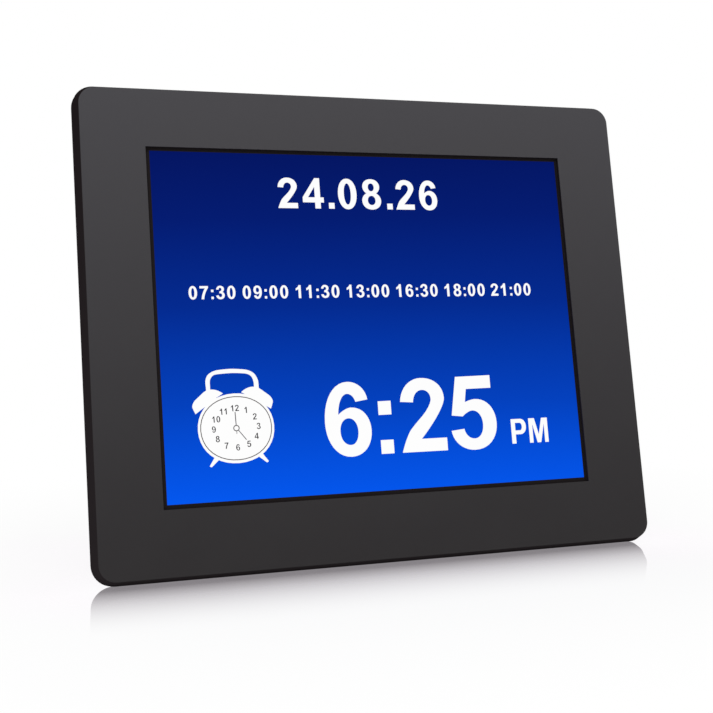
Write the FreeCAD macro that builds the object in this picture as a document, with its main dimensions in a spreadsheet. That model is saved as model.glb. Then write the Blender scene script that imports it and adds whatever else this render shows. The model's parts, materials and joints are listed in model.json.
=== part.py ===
import FreeCAD, Part
import math
import os
import Sketcher

# A day clock: an 8-inch screen in a flat frame that leans back on a fold-out stand leg.
#
# Everything is drawn in the frame of the upright slab: X to the viewer's right, Y up the face
# and Z out of the face. Z = 0 is the back edge of the frame's rim, and Y = 0 is the lower edge of
# the face. At the end the slab is leaned back, stood on the floor and centred, with the face
# towards -Y and the floor at Z = 0.

# Driving sizes: millimetres, degrees and counts.
SIZES = (
    # the frame round the screen
    ("face_width", 211), ("face_height", 170), ("back_corner", 7.4),
    ("rim_depth", 8), ("rim_flare", 1.5), ("bevel_depth", 4.4), ("rim_wall", 1.8), ("front_thick", 2.2),
    ("lip_thick", 1.2), ("front_round", 0.4), ("back_round", 0.8),
    ("window_width", 164.4), ("window_height", 126.6), ("window_up", 85.8),
    ("window_across", -0.7),
    # the lean of the slab and the opening of the stand
    ("lean_angle", 11.5), ("stand_opening", 26.5),
    # the screen panel, as a sandwich behind the window
    ("gasket_thick", 0.3), ("panel_width", 183), ("panel_height", 143), ("panel_thick", 5.7),
    ("sheet", 0.3), ("cell_width", 169), ("cell_height", 131), ("cell_thick", 1.6),
    ("film_thick", 0.3), ("guide_thick", 2.4), ("tray_sheet", 0.5), ("led_space", 2.4),
    ("led_count", 24), ("frame_depth", 4), ("tray_depth", 3.2),
    # the rear cover: a flange inside the rim and a tub behind it
    ("fit_gap", 0.2), ("flange_thick", 2), ("flange_corner", 4),
    ("tub_width", 193), ("tub_height", 152), ("tub_up", 86), ("tub_corner", 11),
    ("tub_depth", 16), ("tub_taper", 5), ("tub_wall", 2), ("tub_round", 3),
    # the posts and foam pads inside it
    ("post_radius", 2.6), ("post_hole_depth", 5.5), ("pad_radius", 3), ("pad_thick", 1.4),
    # the channel that takes the folded leg, and the lugs beside it
    ("channel_width", 47), ("channel_depth", 6.2), ("channel_top", 115),
    ("lug_width", 6), ("lug_height", 9), ("lug_reach", 3),
    # the stand leg and its pin
    ("hinge_up", 110), ("leg_thick", 5), ("leg_width", 46), ("leg_tip_width", 36),
    ("leg_length", 105), ("leg_inset", 0.4), ("heel_gap", 0.05), ("heel_length", 2.2),
    ("pin_radius", 1.25), ("pin_length", 58), ("pin_gap", 0.05),
    ("tongue_width", 30), ("tongue_length", 3), ("tongue_thick", 2),
    # the buttons, their switches and their board
    ("button_count", 6), ("button_pitch", 16), ("button_up", 149), ("button_radius", 3.5),
    ("button_proud", 0.9), ("button_gap", 0.3), ("button_travel", 0.5), ("button_round", 0.5),
    ("collar_radius", 4.8), ("collar_thick", 0.8), ("collar_gap", 0.05),
    ("switch_width", 6), ("switch_height", 3.4), ("plunger_radius", 1.7), ("plunger_gap", 0.2),
    ("plunger_length", 2.4), ("plunger_out", 1.6),
    ("button_board_width", 104), ("button_board_height", 12), ("button_board_back", 7.4),
    ("button_board_thick", 1.2), ("post_inset", 3.5),
    # the main board and what is on it
    ("board_thick", 1.6), ("board_back", 5), ("board_width", 60), ("board_height", 70),
    ("board_across", 58), ("board_up", 59), ("board_post_inset", 4),
    ("socket_up", 40), ("socket_back", 9.6), ("socket_bore", 2.9), ("socket_nose", 3.4),
    ("socket_half", 4.3), ("socket_length", 14), ("socket_gap", 0.2), ("socket_nose_length", 2.5),
    ("socket_pin_radius", 1), ("socket_pin_length", 9.5), ("socket_pin_inset", 0.6),
    # the speaker
    ("speaker_across", 58), ("speaker_up", 45), ("speaker_radius", 14), ("speaker_depth", 5.5),
    ("sound_hole", 1),
    # openings in the back wall
    ("keyhole_across", 64), ("keyhole_up", 128), ("keyhole_entry", 4.5), ("keyhole_slot", 2.3),
    ("keyhole_rise", 9), ("vent_count", 10), ("vent_pitch", 5), ("vent_width", 1.8),
    ("vent_length", 16), ("vent_up", 130),
    # the fasteners
    ("case_screw_across", 100), ("case_screw_low", 6), ("case_screw_high", 165),
    ("case_head", 2.3), ("case_shank", 0.95), ("case_length", 5), ("case_seat", 1.2),
    ("board_head", 2), ("board_shank", 0.95), ("board_length", 6), ("head_gap", 0.3),
    ("shank_gap", 0.25), ("thread_gap", 0.05),
)

# A cutting outline starts this far outside what it cuts, and a post starts this far inside
# the wall that carries it.
PAST = 1
ROOT = 0.5


class Size:
    """A size that carries its value and the text that binds it to the sheet."""

    def __init__(self, value, text):
        self.value = float(value)
        self.text = text

    def __add__(self, other):
        other = as_size(other)
        return Size(self.value + other.value, f"({self.text} + {other.text})")

    def __sub__(self, other):
        other = as_size(other)
        return Size(self.value - other.value, f"({self.text} - {other.text})")

    def __mul__(self, other):
        other = as_size(other)
        return Size(self.value * other.value, f"({self.text} * {other.text})")

    def __truediv__(self, other):
        other = as_size(other)
        return Size(self.value / other.value, f"({self.text} / {other.text})")

    def __radd__(self, other):
        return as_size(other) + self

    def __rsub__(self, other):
        return as_size(other) - self

    def __rmul__(self, other):
        return as_size(other) * self

    def __neg__(self):
        return Size(-self.value, f"(0 - {self.text})")


def as_size(value):
    if isinstance(value, Size):
        return value
    return Size(value, f"({float(value)})")


def cosine(angle):
    return Size(math.cos(math.radians(angle.value)), f"cos({angle.text})")


def sine(angle):
    return Size(math.sin(math.radians(angle.value)), f"sin({angle.text})")


def tangent(angle):
    return Size(math.tan(math.radians(angle.value)), f"tan({angle.text})")


def arctangent(ratio):
    return Size(math.degrees(math.atan(ratio.value)), f"(atan({ratio.text}) / 1deg)")


doc = FreeCAD.newDocument("day_clock")


def make_sheet():
    """Write the driving sizes into the sheet and return them by name."""
    sheet = doc.addObject("Spreadsheet::Sheet", "sizes")
    named = {}
    for row, (name, value) in enumerate(SIZES, start=1):
        sheet.set(f"A{row}", name)
        sheet.set(f"B{row}", str(value))
        sheet.setAlias(f"B{row}", name)
        named[name] = Size(value, f"sizes.{name}")
    doc.recompute()
    return named


S = make_sheet()

# Depths along Z that several pieces share.
FACE = S["rim_depth"]
LIP_BACK = FACE - S["lip_thick"]
FRONT_BACK = FACE - S["front_thick"]
BEVEL_BACK = FACE - S["bevel_depth"]
BEVEL_ANGLE = arctangent(S["rim_flare"] / S["bevel_depth"])
PANEL_FRONT = LIP_BACK - S["gasket_thick"]
PANEL_BACK = PANEL_FRONT - S["panel_thick"]
CELL_FRONT = PANEL_FRONT - S["sheet"]
CELL_BACK = CELL_FRONT - S["cell_thick"]
GUIDE_FRONT = CELL_BACK - S["film_thick"] * 2
GUIDE_BACK = GUIDE_FRONT - S["guide_thick"]
TRAY_FLOOR = GUIDE_BACK - S["film_thick"]
TUB_BACK = -S["tub_depth"]
TUB_FLOOR = TUB_BACK + S["tub_wall"]
CHANNEL_FLOOR = TUB_BACK + S["channel_depth"]
CHANNEL_INSIDE = CHANNEL_FLOOR + S["tub_wall"]
BOARD_BACK = -S["board_back"]
BOARD_FRONT = BOARD_BACK + S["board_thick"]
BUTTON_BOARD_BACK = -S["button_board_back"]
BUTTON_BOARD_FRONT = BUTTON_BOARD_BACK + S["button_board_thick"]
SWITCH_BACK = BUTTON_BOARD_BACK - S["switch_height"]
PLUNGER_END = SWITCH_BACK - S["plunger_out"]

# The hinge line, and how the opened leg meets the floor.
HINGE_DEPTH = TUB_BACK + S["leg_inset"] + S["leg_thick"] / 2
EDGE_UP = S["back_round"] - S["rim_flare"]
EDGE_DROP = EDGE_UP * cosine(S["lean_angle"]) + S["back_round"] * sine(S["lean_angle"]) - S["back_round"]
HINGE_HEIGHT = (S["hinge_up"] * cosine(S["lean_angle"]) + HINGE_DEPTH * sine(S["lean_angle"])
                - EDGE_DROP)
SOCKET_FAR = S["socket_gap"] - S["socket_back"] - S["socket_half"]
SOCKET_WALL = (S["tub_width"] / 2 - S["tub_wall"] - S["socket_gap"]
               - (S["flange_thick"] - SOCKET_FAR) * tangent(S["tub_taper"]))
SOCKET_MOUTH = SOCKET_WALL + S["socket_nose_length"]

# Where the cable from the button board ends on the main board.
RIBBON_ACROSS = as_size(41)
RIBBON_END = S["board_up"] + S["board_height"] / 2 - 4
LEG_TILT = S["stand_opening"] - S["lean_angle"]

BUTTONS = ("power", "menu", "left", "up", "down", "right")

# The sound holes: one in the middle, and rings given by their count and radius.
SOUND_RINGS = ((6, 4), (12, 8))


def bind(thing, path, size):
    thing.setExpression(path, as_size(size).text)


def new_body(name):
    body = doc.addObject("PartDesign::Body", name)
    body.Label = name
    return body


def origin_feature(body, role):
    return next(item for item in body.Origin.OriginFeatures if item.Role == role)


def sketch_on(body, name, role, offset=0):
    """A sketch on one of the body's own planes, moved along that plane's normal."""
    sketch = body.newObject("Sketcher::SketchObject", name)
    sketch.AttachmentSupport = [(origin_feature(body, role), "")]
    sketch.MapMode = "FlatFace"
    bind(sketch, "AttachmentOffset.Base.z", offset)
    return sketch


def dimension(sketch, kind, *where, size):
    index = sketch.addConstraint(Sketcher.Constraint(kind, *where, as_size(size).value))
    bind(sketch, f"Constraints[{index}]", size)


def fix_point(sketch, edge, point, x, y):
    dimension(sketch, "DistanceX", -1, 1, edge, point, size=x)
    dimension(sketch, "DistanceY", -1, 1, edge, point, size=y)


def circle(sketch, radius, x=0, y=0):
    radius, x, y = as_size(radius), as_size(x), as_size(y)
    centre = FreeCAD.Vector(x.value, y.value, 0)
    edge = sketch.addGeometry(Part.Circle(centre, FreeCAD.Vector(0, 0, 1), radius.value), False)
    dimension(sketch, "Radius", edge, size=radius)
    fix_point(sketch, edge, 3, x, y)


def polygon(sketch, points):
    """A closed outline of straight edges through the points."""
    points = [(as_size(x), as_size(y)) for x, y in points]
    first = sketch.GeometryCount
    count = len(points)
    for k, (x, y) in enumerate(points):
        to_x, to_y = points[(k + 1) % count]
        start = FreeCAD.Vector(x.value, y.value, 0)
        end = FreeCAD.Vector(to_x.value, to_y.value, 0)
        sketch.addGeometry(Part.LineSegment(start, end), False)
    for k, (x, y) in enumerate(points):
        following = first + (k + 1) % count
        sketch.addConstraint(Sketcher.Constraint("Coincident", first + k, 2, following, 1))
        fix_point(sketch, first + k, 1, x, y)


def rectangle(sketch, width, height, x=0, y=0):
    half_width, half_height = as_size(width) / 2, as_size(height) / 2
    polygon(sketch, [
        (x - half_width, y - half_height), (x + half_width, y - half_height),
        (x + half_width, y + half_height), (x - half_width, y + half_height),
    ])


def add_arc(sketch, x, y, radius, start, end):
    centre = FreeCAD.Vector(x, y, 0)
    whole = Part.Circle(centre, FreeCAD.Vector(0, 0, 1), radius)
    arc = Part.ArcOfCircle(whole, math.radians(start), math.radians(end))
    return sketch.addGeometry(arc, False)


def add_line(sketch, x0, y0, x1, y1):
    line = Part.LineSegment(FreeCAD.Vector(x0, y0, 0), FreeCAD.Vector(x1, y1, 0))
    return sketch.addGeometry(line, False)


def rounded_rectangle(sketch, width, height, radius, x=0, y=0):
    """Four lines and four equal corner arcs, tangent all the way round."""
    width, height, radius = as_size(width), as_size(height), as_size(radius)
    left, right = x - width / 2, x + width / 2
    low, high = y - height / 2, y + height / 2
    r = radius.value
    x0, x1, y0, y1 = left.value, right.value, low.value, high.value
    edges = [
        add_line(sketch, x0 + r, y0, x1 - r, y0), add_arc(sketch, x1 - r, y0 + r, r, -90, 0),
        add_line(sketch, x1, y0 + r, x1, y1 - r), add_arc(sketch, x1 - r, y1 - r, r, 0, 90),
        add_line(sketch, x1 - r, y1, x0 + r, y1), add_arc(sketch, x0 + r, y1 - r, r, 90, 180),
        add_line(sketch, x0, y1 - r, x0, y0 + r), add_arc(sketch, x0 + r, y0 + r, r, 180, 270),
    ]
    for edge, following in zip(edges, edges[1:] + edges[:1]):
        sketch.addConstraint(Sketcher.Constraint("Tangent", edge, 2, following, 1))
    for edge, kind in zip(edges[::2], ("Horizontal", "Vertical", "Horizontal", "Vertical")):
        sketch.addConstraint(Sketcher.Constraint(kind, edge))
    for edge in edges[3::2]:
        sketch.addConstraint(Sketcher.Constraint("Equal", edges[1], edge))
    dimension(sketch, "Radius", edges[1], size=radius)
    dimension(sketch, "DistanceY", -1, 1, edges[0], 1, size=low)
    dimension(sketch, "DistanceX", -1, 1, edges[2], 1, size=right)
    dimension(sketch, "DistanceY", -1, 1, edges[4], 1, size=high)
    dimension(sketch, "DistanceX", -1, 1, edges[6], 1, size=left)


def upright_slot(sketch, half_width, x, low, high):
    """A slot with round ends, between two centres one above the other."""
    half_width, x, low, high = (as_size(size) for size in (half_width, x, low, high))
    r, mid, y0, y1 = half_width.value, x.value, low.value, high.value
    edges = [
        add_arc(sketch, mid, y0, r, 180, 360), add_line(sketch, mid + r, y0, mid + r, y1),
        add_arc(sketch, mid, y1, r, 0, 180), add_line(sketch, mid - r, y1, mid - r, y0),
    ]
    for edge, following in zip(edges, edges[1:] + edges[:1]):
        sketch.addConstraint(Sketcher.Constraint("Tangent", edge, 2, following, 1))
    dimension(sketch, "Radius", edges[0], size=half_width)
    fix_point(sketch, edges[0], 3, x, low)
    fix_point(sketch, edges[2], 3, x, high)


def pad(body, sketch, length, down=False, both=False, taper=0):
    feature = body.newObject("PartDesign::Pad", sketch.Name + "_pad")
    feature.Profile = sketch
    feature.Reversed = down
    if both:
        feature.SideType = "Symmetric"
    bind(feature, "Length", length)
    if as_size(taper).value:
        bind(feature, "TaperAngle", taper)
    doc.recompute()
    return feature


def pocket(body, sketch, length, up=False, both=False, taper=0):
    """Cut against the sketch's normal, or along it with up, and check that it did cut."""
    before = body.Shape.Volume
    feature = body.newObject("PartDesign::Pocket", sketch.Name + "_pocket")
    feature.Profile = sketch
    feature.Reversed = up
    if both:
        feature.SideType = "Symmetric"
    bind(feature, "Length", length)
    if as_size(taper).value:
        bind(feature, "TaperAngle", taper)
    doc.recompute()
    must_change(body, before, feature)
    return feature


def must_change(body, before, feature):
    if abs(body.Shape.Volume - before) < 1e-6:
        raise RuntimeError(f"{feature.Name} changed nothing in {body.Label}")


def row_of(body, feature, role, pitch, count, back=False):
    """Repeat a feature along one of the body's axes."""
    before = body.Shape.Volume
    pattern = body.newObject("PartDesign::LinearPattern", feature.Name + "_row")
    pattern.Originals = [feature]
    pattern.Direction = (origin_feature(body, role), [""])
    pattern.Reversed = back
    pattern.Mode = "Extent"
    bind(pattern, "Length", pitch * (count - 1))
    bind(pattern, "Occurrences", count)
    body.Tip = pattern
    doc.recompute()
    must_change(body, before, pattern)
    return pattern


def edge_names(shape, wanted):
    """Names of the edges whose every sample point is where wanted says."""
    names = []
    for number, edge in enumerate(shape.Edges, start=1):
        points = edge.discretize(5)
        if all(wanted(point) for point in points):
            names.append(f"Edge{number}")
    return names


def round_edges(body, radius, wanted):
    base = body.Tip
    before = body.Shape.Volume
    feature = body.newObject("PartDesign::Fillet", f"{body.Name}_round")
    feature.Base = (base, edge_names(base.Shape, wanted))
    bind(feature, "Radius", radius)
    doc.recompute()
    must_change(body, before, feature)
    return feature


def at_depth(size):
    return lambda point: abs(point.z - size.value) < 1e-4


def block(name, width, height, depth, x, y, back):
    """A plain block: its middle in X and Y, and its back face in Z."""
    box = doc.addObject("Part::Box", name)
    box.Label = name
    bind(box, "Length", width)
    bind(box, "Width", height)
    bind(box, "Height", depth)
    bind(box, "Placement.Base.x", x - as_size(width) / 2)
    bind(box, "Placement.Base.y", y - as_size(height) / 2)
    bind(box, "Placement.Base.z", back)
    return box


def disc(name, radius, depth, x, y, back):
    """A plain cylinder along Z: its axis in X and Y, and its back face in Z."""
    cylinder = doc.addObject("Part::Cylinder", name)
    cylinder.Label = name
    bind(cylinder, "Radius", radius)
    bind(cylinder, "Height", depth)
    bind(cylinder, "Placement.Base.x", x)
    bind(cylinder, "Placement.Base.y", y)
    bind(cylinder, "Placement.Base.z", back)
    return cylinder


def cut(name, base, tool):
    result = doc.addObject("Part::Cut", name)
    result.Label = name
    result.Base = base
    result.Tool = tool
    return result


def fuse(name, pieces):
    result = doc.addObject("Part::MultiFuse", name)
    result.Label = name
    result.Shapes = pieces
    result.Refine = True
    return result


def group(name, pieces):
    """Separate solids that share one name."""
    result = doc.addObject("Part::Compound", name)
    result.Label = name
    result.Links = pieces
    return result


def ring(name, outer, inner, x, y, back, depth):
    """A flat rectangular ring round the window."""
    outside = block(f"{name}_outside", *outer, depth, x, y, back)
    inside = block(f"{name}_inside", *inner, depth + 2 * PAST, x, y, back - PAST)
    return cut(name, outside, inside)


def screw(name, x, y, seat, head, head_height, shank, shank_length, forward):
    """A pan-head screw with a cross recess. forward is True when its shank points to +Z."""
    slot_depth, slot_width, slot_length = 0.6, 0.5, head * 1.3
    head_back = seat - head_height if forward else seat
    shank_back = seat if forward else seat - shank_length
    slot_back = head_back - PAST if forward else head_back + head_height - slot_depth
    slot_reach = slot_depth + PAST
    top = disc(f"{name}_top", head, head_height, x, y, head_back)
    rod = disc(f"{name}_rod", shank, shank_length, x, y, shank_back)
    bar = block(f"{name}_bar", slot_length, slot_width, slot_reach, x, y, slot_back)
    crossbar = block(f"{name}_crossbar", slot_width, slot_length, slot_reach, x, y, slot_back)
    whole = fuse(f"{name}_whole", [top, rod])
    cross = fuse(f"{name}_cross", [bar, crossbar])
    return cut(name, whole, cross)


def case_screw_spots():
    heights = (S["case_screw_low"], S["tub_up"], S["case_screw_high"])
    return [(side * S["case_screw_across"], y) for y in heights for side in (-1, 1)]


def board_post_spots():
    inset = S["board_post_inset"]
    reach_x, reach_y = S["board_width"] / 2 - inset, S["board_height"] / 2 - inset
    return [(S["board_across"] + i * reach_x, S["board_up"] + j * reach_y)
            for i in (-1, 1) for j in (-1, 1)]


def button_board_post_spots():
    reach = S["button_board_width"] / 2 - S["post_inset"]
    return [(side * reach, S["button_up"]) for side in (-1, 1)]


def pad_pillar_spots():
    reach_x, reach_y = S["panel_width"] / 2 - 11.5, S["panel_height"] / 2 - 4.5
    return [(S["window_across"] + i * reach_x, S["window_up"] + j * reach_y)
            for i in (-1, 1) for j in (-1, 1)]


def button_places():
    """The buttons' places across, in the order in which they read from behind."""
    first = S["button_pitch"] * (S["button_count"] - 1) / 2
    return [first - S["button_pitch"] * k for k in range(len(BUTTONS))]


def make_front_bezel():
    """The frame: a rim with a bevelled front, a flat face with the window, and screw bosses."""
    body = new_body("front_bezel")
    middle = S["face_height"] / 2
    rim_width = S["face_width"] + S["rim_flare"] * 2
    rim_height = S["face_height"] + S["rim_flare"] * 2
    rim = sketch_on(body, "rim", "XY_Plane")
    rounded_rectangle(rim, rim_width, rim_height, S["back_corner"], 0, middle)
    pad(body, rim, BEVEL_BACK)
    bevel = sketch_on(body, "bevel", "XY_Plane", BEVEL_BACK)
    rounded_rectangle(bevel, rim_width, rim_height, S["back_corner"], 0, middle)
    pad(body, bevel, S["bevel_depth"], taper=-BEVEL_ANGLE)
    round_edges(body, S["front_round"], at_depth(FACE))
    round_edges(body, S["back_round"], at_depth(as_size(0)))

    inside = sketch_on(body, "rim_inside", "XY_Plane")
    clear_width = S["face_width"] - S["rim_wall"] * 2
    clear_height = S["face_height"] - S["rim_wall"] * 2
    rounded_rectangle(inside, clear_width, clear_height, S["flange_corner"] + S["fit_gap"], 0, middle)
    pocket(body, inside, FRONT_BACK, up=True)

    seat = sketch_on(body, "panel_seat", "XY_Plane", FRONT_BACK)
    play = S["fit_gap"] * 5
    rectangle(seat, S["panel_width"] + play, S["panel_height"] + play, S["window_across"],
              S["window_up"])
    pocket(body, seat, LIP_BACK - FRONT_BACK, up=True)

    window = sketch_on(body, "window", "XY_Plane", FRONT_BACK)
    rectangle(window, S["window_width"], S["window_height"], S["window_across"], S["window_up"])
    pocket(body, window, S["front_thick"] + PAST, up=True)

    bosses = sketch_on(body, "screw_bosses", "XY_Plane", S["flange_thick"])
    for x, y in case_screw_spots():
        circle(bosses, S["case_head"] + S["head_gap"], x, y)
    pad(body, bosses, FRONT_BACK - S["flange_thick"])
    holes = sketch_on(body, "boss_holes", "XY_Plane", S["flange_thick"])
    for x, y in case_screw_spots():
        circle(holes, S["case_shank"] + S["thread_gap"], x, y)
    pocket(body, holes, S["case_length"] + S["case_seat"] - S["flange_thick"] + S["fit_gap"], up=True)
    return body


def make_tub(body):
    """The flange inside the rim and the tapered tub behind it, hollow."""
    middle = S["face_height"] / 2
    spare = (S["rim_wall"] + S["fit_gap"]) * 2
    flange = sketch_on(body, "flange", "XY_Plane")
    rounded_rectangle(flange, S["face_width"] - spare, S["face_height"] - spare,
                      S["flange_corner"], 0, middle)
    pad(body, flange, S["flange_thick"])

    tub = sketch_on(body, "tub", "XY_Plane")
    rounded_rectangle(tub, S["tub_width"], S["tub_height"], S["tub_corner"], 0, S["tub_up"])
    pad(body, tub, S["tub_depth"], down=True, taper=-S["tub_taper"])
    round_edges(body, S["tub_round"], at_depth(TUB_BACK))

    room = sketch_on(body, "tub_inside", "XY_Plane", S["flange_thick"])
    rounded_rectangle(room, S["tub_width"] - S["tub_wall"] * 2, S["tub_height"] - S["tub_wall"] * 2,
                      S["tub_corner"] - S["tub_wall"], 0, S["tub_up"])
    pocket(body, room, S["flange_thick"] - TUB_FLOOR, taper=-S["tub_taper"])


def make_channel(body):
    """The channel for the folded leg, open at its lower end, with a lug each side for the pin."""
    wall = S["tub_wall"]
    low = S["tub_up"] - S["tub_height"] / 2 + wall - ROOT
    high = S["channel_top"]
    walls = sketch_on(body, "channel_walls", "XY_Plane", CHANNEL_INSIDE)
    height = high + wall - low
    rectangle(walls, S["channel_width"] + wall * 2, height, 0, low + height / 2)
    pad(body, walls, CHANNEL_INSIDE - TUB_BACK - ROOT, down=True)

    lug_front = HINGE_DEPTH + S["lug_reach"]
    lugs = sketch_on(body, "hinge_lugs", "XY_Plane", lug_front)
    for side in (-1, 1):
        middle = side * (S["channel_width"] + S["lug_width"]) / 2
        rectangle(lugs, S["lug_width"], S["lug_height"], middle, S["hinge_up"])
    pad(body, lugs, lug_front - TUB_FLOOR + ROOT, down=True)

    channel = sketch_on(body, "channel", "XY_Plane", TUB_BACK - PAST)
    reach = high - low + wall * 3
    rectangle(channel, S["channel_width"], reach, 0, high - reach / 2)
    pocket(body, channel, S["channel_depth"] + PAST, up=True)

    pin_hole = sketch_on(body, "pin_hole", "YZ_Plane", -S["pin_length"] / 2)
    circle(pin_hole, S["pin_radius"], S["hinge_up"], HINGE_DEPTH)
    pocket(body, pin_hole, S["pin_length"] + S["lug_width"], up=True)


def make_posts(body):
    """Posts on the inside of the back wall, with blind screw holes where they take a screw."""
    pillars = sketch_on(body, "pad_pillars", "XY_Plane", TUB_FLOOR - ROOT)
    for x, y in pad_pillar_spots():
        circle(pillars, S["pad_radius"], x, y)
    pad(body, pillars, PANEL_BACK - S["pad_thick"] - TUB_FLOOR + ROOT)

    groups = (("board_posts", board_post_spots(), BOARD_BACK),
              ("button_posts", button_board_post_spots(), BUTTON_BOARD_BACK))
    for name, spots, top in groups:
        posts = sketch_on(body, name, "XY_Plane", TUB_FLOOR - ROOT)
        for x, y in spots:
            circle(posts, S["post_radius"], x, y)
        pad(body, posts, top - TUB_FLOOR + ROOT)
        holes = sketch_on(body, f"{name}_holes", "XY_Plane", top)
        for x, y in spots:
            circle(holes, S["board_shank"] + S["thread_gap"], x, y)
        pocket(body, holes, S["post_hole_depth"])


def make_back_openings(body):
    """Vents, sound holes, keyholes, button holes, the socket's hole and the screw holes."""
    depth = S["tub_wall"] + 2 * PAST
    behind = TUB_BACK - PAST

    vent = sketch_on(body, "vent", "XY_Plane", behind)
    half = S["vent_width"] / 2
    first = -S["vent_pitch"] * (S["vent_count"] - 1) / 2
    rise = S["vent_length"] / 2 - half
    upright_slot(vent, half, first, S["vent_up"] - rise, S["vent_up"] + rise)
    row_of(body, pocket(body, vent, depth, up=True), "X_Axis", S["vent_pitch"], S["vent_count"])

    sound = sketch_on(body, "sound_holes", "XY_Plane", behind)
    circle(sound, S["sound_hole"], -S["speaker_across"], S["speaker_up"])
    for number, reach in SOUND_RINGS:
        for k in range(number):
            angle = 2 * math.pi * k / number
            circle(sound, S["sound_hole"], reach * math.cos(angle) - S["speaker_across"],
                   reach * math.sin(angle) + S["speaker_up"])
    pocket(body, sound, depth, up=True)

    for side, name in ((-1, "left"), (1, "right")):
        x = side * S["keyhole_across"]
        entry = sketch_on(body, f"keyhole_entry_{name}", "XY_Plane", behind)
        circle(entry, S["keyhole_entry"], x, S["keyhole_up"])
        pocket(body, entry, depth, up=True)
        slot = sketch_on(body, f"keyhole_slot_{name}", "XY_Plane", behind)
        upright_slot(slot, S["keyhole_slot"], x, S["keyhole_up"],
                     S["keyhole_up"] + S["keyhole_rise"])
        pocket(body, slot, depth, up=True)

    button = sketch_on(body, "button_hole", "XY_Plane", behind)
    circle(button, S["button_radius"] + S["button_gap"], button_places()[-1], S["button_up"])
    row_of(body, pocket(body, button, depth, up=True), "X_Axis", S["button_pitch"],
           S["button_count"])

    socket = sketch_on(body, "socket_hole", "YZ_Plane", SOCKET_WALL - PAST)
    circle(socket, S["socket_nose"] + S["socket_gap"], S["socket_up"], -S["socket_back"])
    pocket(body, socket, S["tub_wall"] * 2 + PAST, up=True)

    through = sketch_on(body, "case_screw_holes", "XY_Plane")
    for x, y in case_screw_spots():
        circle(through, S["case_shank"] + S["shank_gap"], x, y)
    pocket(body, through, S["flange_thick"] + PAST, up=True)
    counterbore = sketch_on(body, "case_screw_seats", "XY_Plane")
    for x, y in case_screw_spots():
        circle(counterbore, S["case_head"] + S["head_gap"], x, y)
    pocket(body, counterbore, S["case_seat"], up=True)


def make_speaker_wall(body):
    """The low round wall that holds the speaker over the sound holes."""
    inside = S["speaker_radius"] + S["fit_gap"]
    thick, height = 1.2, 3
    wall = sketch_on(body, "speaker_wall", "XY_Plane", TUB_FLOOR - ROOT)
    circle(wall, inside + thick, -S["speaker_across"], S["speaker_up"])
    circle(wall, inside, -S["speaker_across"], S["speaker_up"])
    pad(body, wall, height + ROOT)


def make_rear_cover():
    body = new_body("rear_cover")
    make_tub(body)
    make_channel(body)
    make_posts(body)
    make_speaker_wall(body)
    make_back_openings(body)
    return body


def make_panel():
    """The screen panel, from the foam ring in front to the foam pads behind."""
    x, y = S["window_across"], S["window_up"]
    width, height = S["panel_width"], S["panel_height"]
    window = (S["window_width"] + 2, S["window_height"] + 2)
    gasket = ring("dust_gasket", (width - 4, height - 4), window, x, y, PANEL_FRONT,
                  S["gasket_thick"])

    deep = S["frame_depth"]
    sheet = S["sheet"]
    shell = block("panel_frame_shell", width, height, deep, x, y, PANEL_FRONT - deep)
    hollow = block("panel_frame_hollow", width - sheet * 2, height - sheet * 2, deep, x, y,
                   PANEL_FRONT - deep - sheet)
    opening = block("panel_frame_opening", S["window_width"] - 1, S["window_height"] - 1, deep,
                    x, y, PANEL_FRONT - deep / 2)
    frame = cut("panel_frame", cut("panel_frame_sheet", shell, hollow), opening)

    inner_width, inner_height = width - sheet * 4, height - sheet * 4
    cell = (S["cell_width"], S["cell_height"])
    lcd = block("lcd_cell", *cell, S["cell_thick"], x, y, CELL_BACK)
    mould_depth = CELL_FRONT - TRAY_FLOOR
    mould = ring("mould_frame", (inner_width - 2, inner_height - 2),
                 (cell[0] + 0.4, cell[1] + 0.4), x, y, TRAY_FLOOR, mould_depth)
    diffuser = block("diffuser_film", *cell, S["film_thick"], x, y, CELL_BACK - S["film_thick"])
    prism = block("prism_film", *cell, S["film_thick"], x, y, GUIDE_FRONT)
    guide_height = cell[1] - S["led_space"]
    guide = block("light_guide", cell[0], guide_height, S["guide_thick"], x,
                  y + S["led_space"] / 2, GUIDE_BACK)
    reflector = block("reflector_sheet", *cell, S["film_thick"], x, y, TRAY_FLOOR)

    strip_low = y - S["cell_height"] / 2
    strip = [block("led_strip_flex", cell[0] - 8, 0.4, S["guide_thick"], x, strip_low + 0.4,
                   GUIDE_BACK)]
    row_length = S["cell_width"] - 14
    pitch = row_length / (S["led_count"] - 1)
    for k in range(int(S["led_count"].value)):
        led_x = x + pitch * k - row_length / 2
        strip.append(block(f"led_{k}", 3.2, 1.2, 1.8, led_x, strip_low + 1.2, GUIDE_BACK + 0.3))
    leds = group("led_strip", strip)

    thick = S["tray_sheet"]
    deep = S["tray_depth"]
    shell = block("panel_tray_shell", inner_width, inner_height, deep, x, y, PANEL_BACK)
    hollow = block("panel_tray_hollow", inner_width - thick * 2, inner_height - thick * 2,
                   deep, x, y, PANEL_BACK + thick)
    tray = cut("panel_tray", shell, hollow)
    soft = S["pad_thick"]
    pads = [disc(f"panel_pad_{k}", S["pad_radius"], soft, *spot, PANEL_BACK - soft)
            for k, spot in enumerate(pad_pillar_spots())]
    return [gasket, frame, lcd, mould, diffuser, prism, guide, reflector, leds, tray,
            group("panel_pads", pads)]


def make_ribbon(name, width, x, points):
    """A flat ribbon of one width, drawn by its outline seen from the side."""
    body = new_body(name)
    side = sketch_on(body, f"{name}_side", "YZ_Plane", x)
    polygon(side, points)
    pad(body, side, width, both=True)
    return body


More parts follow.
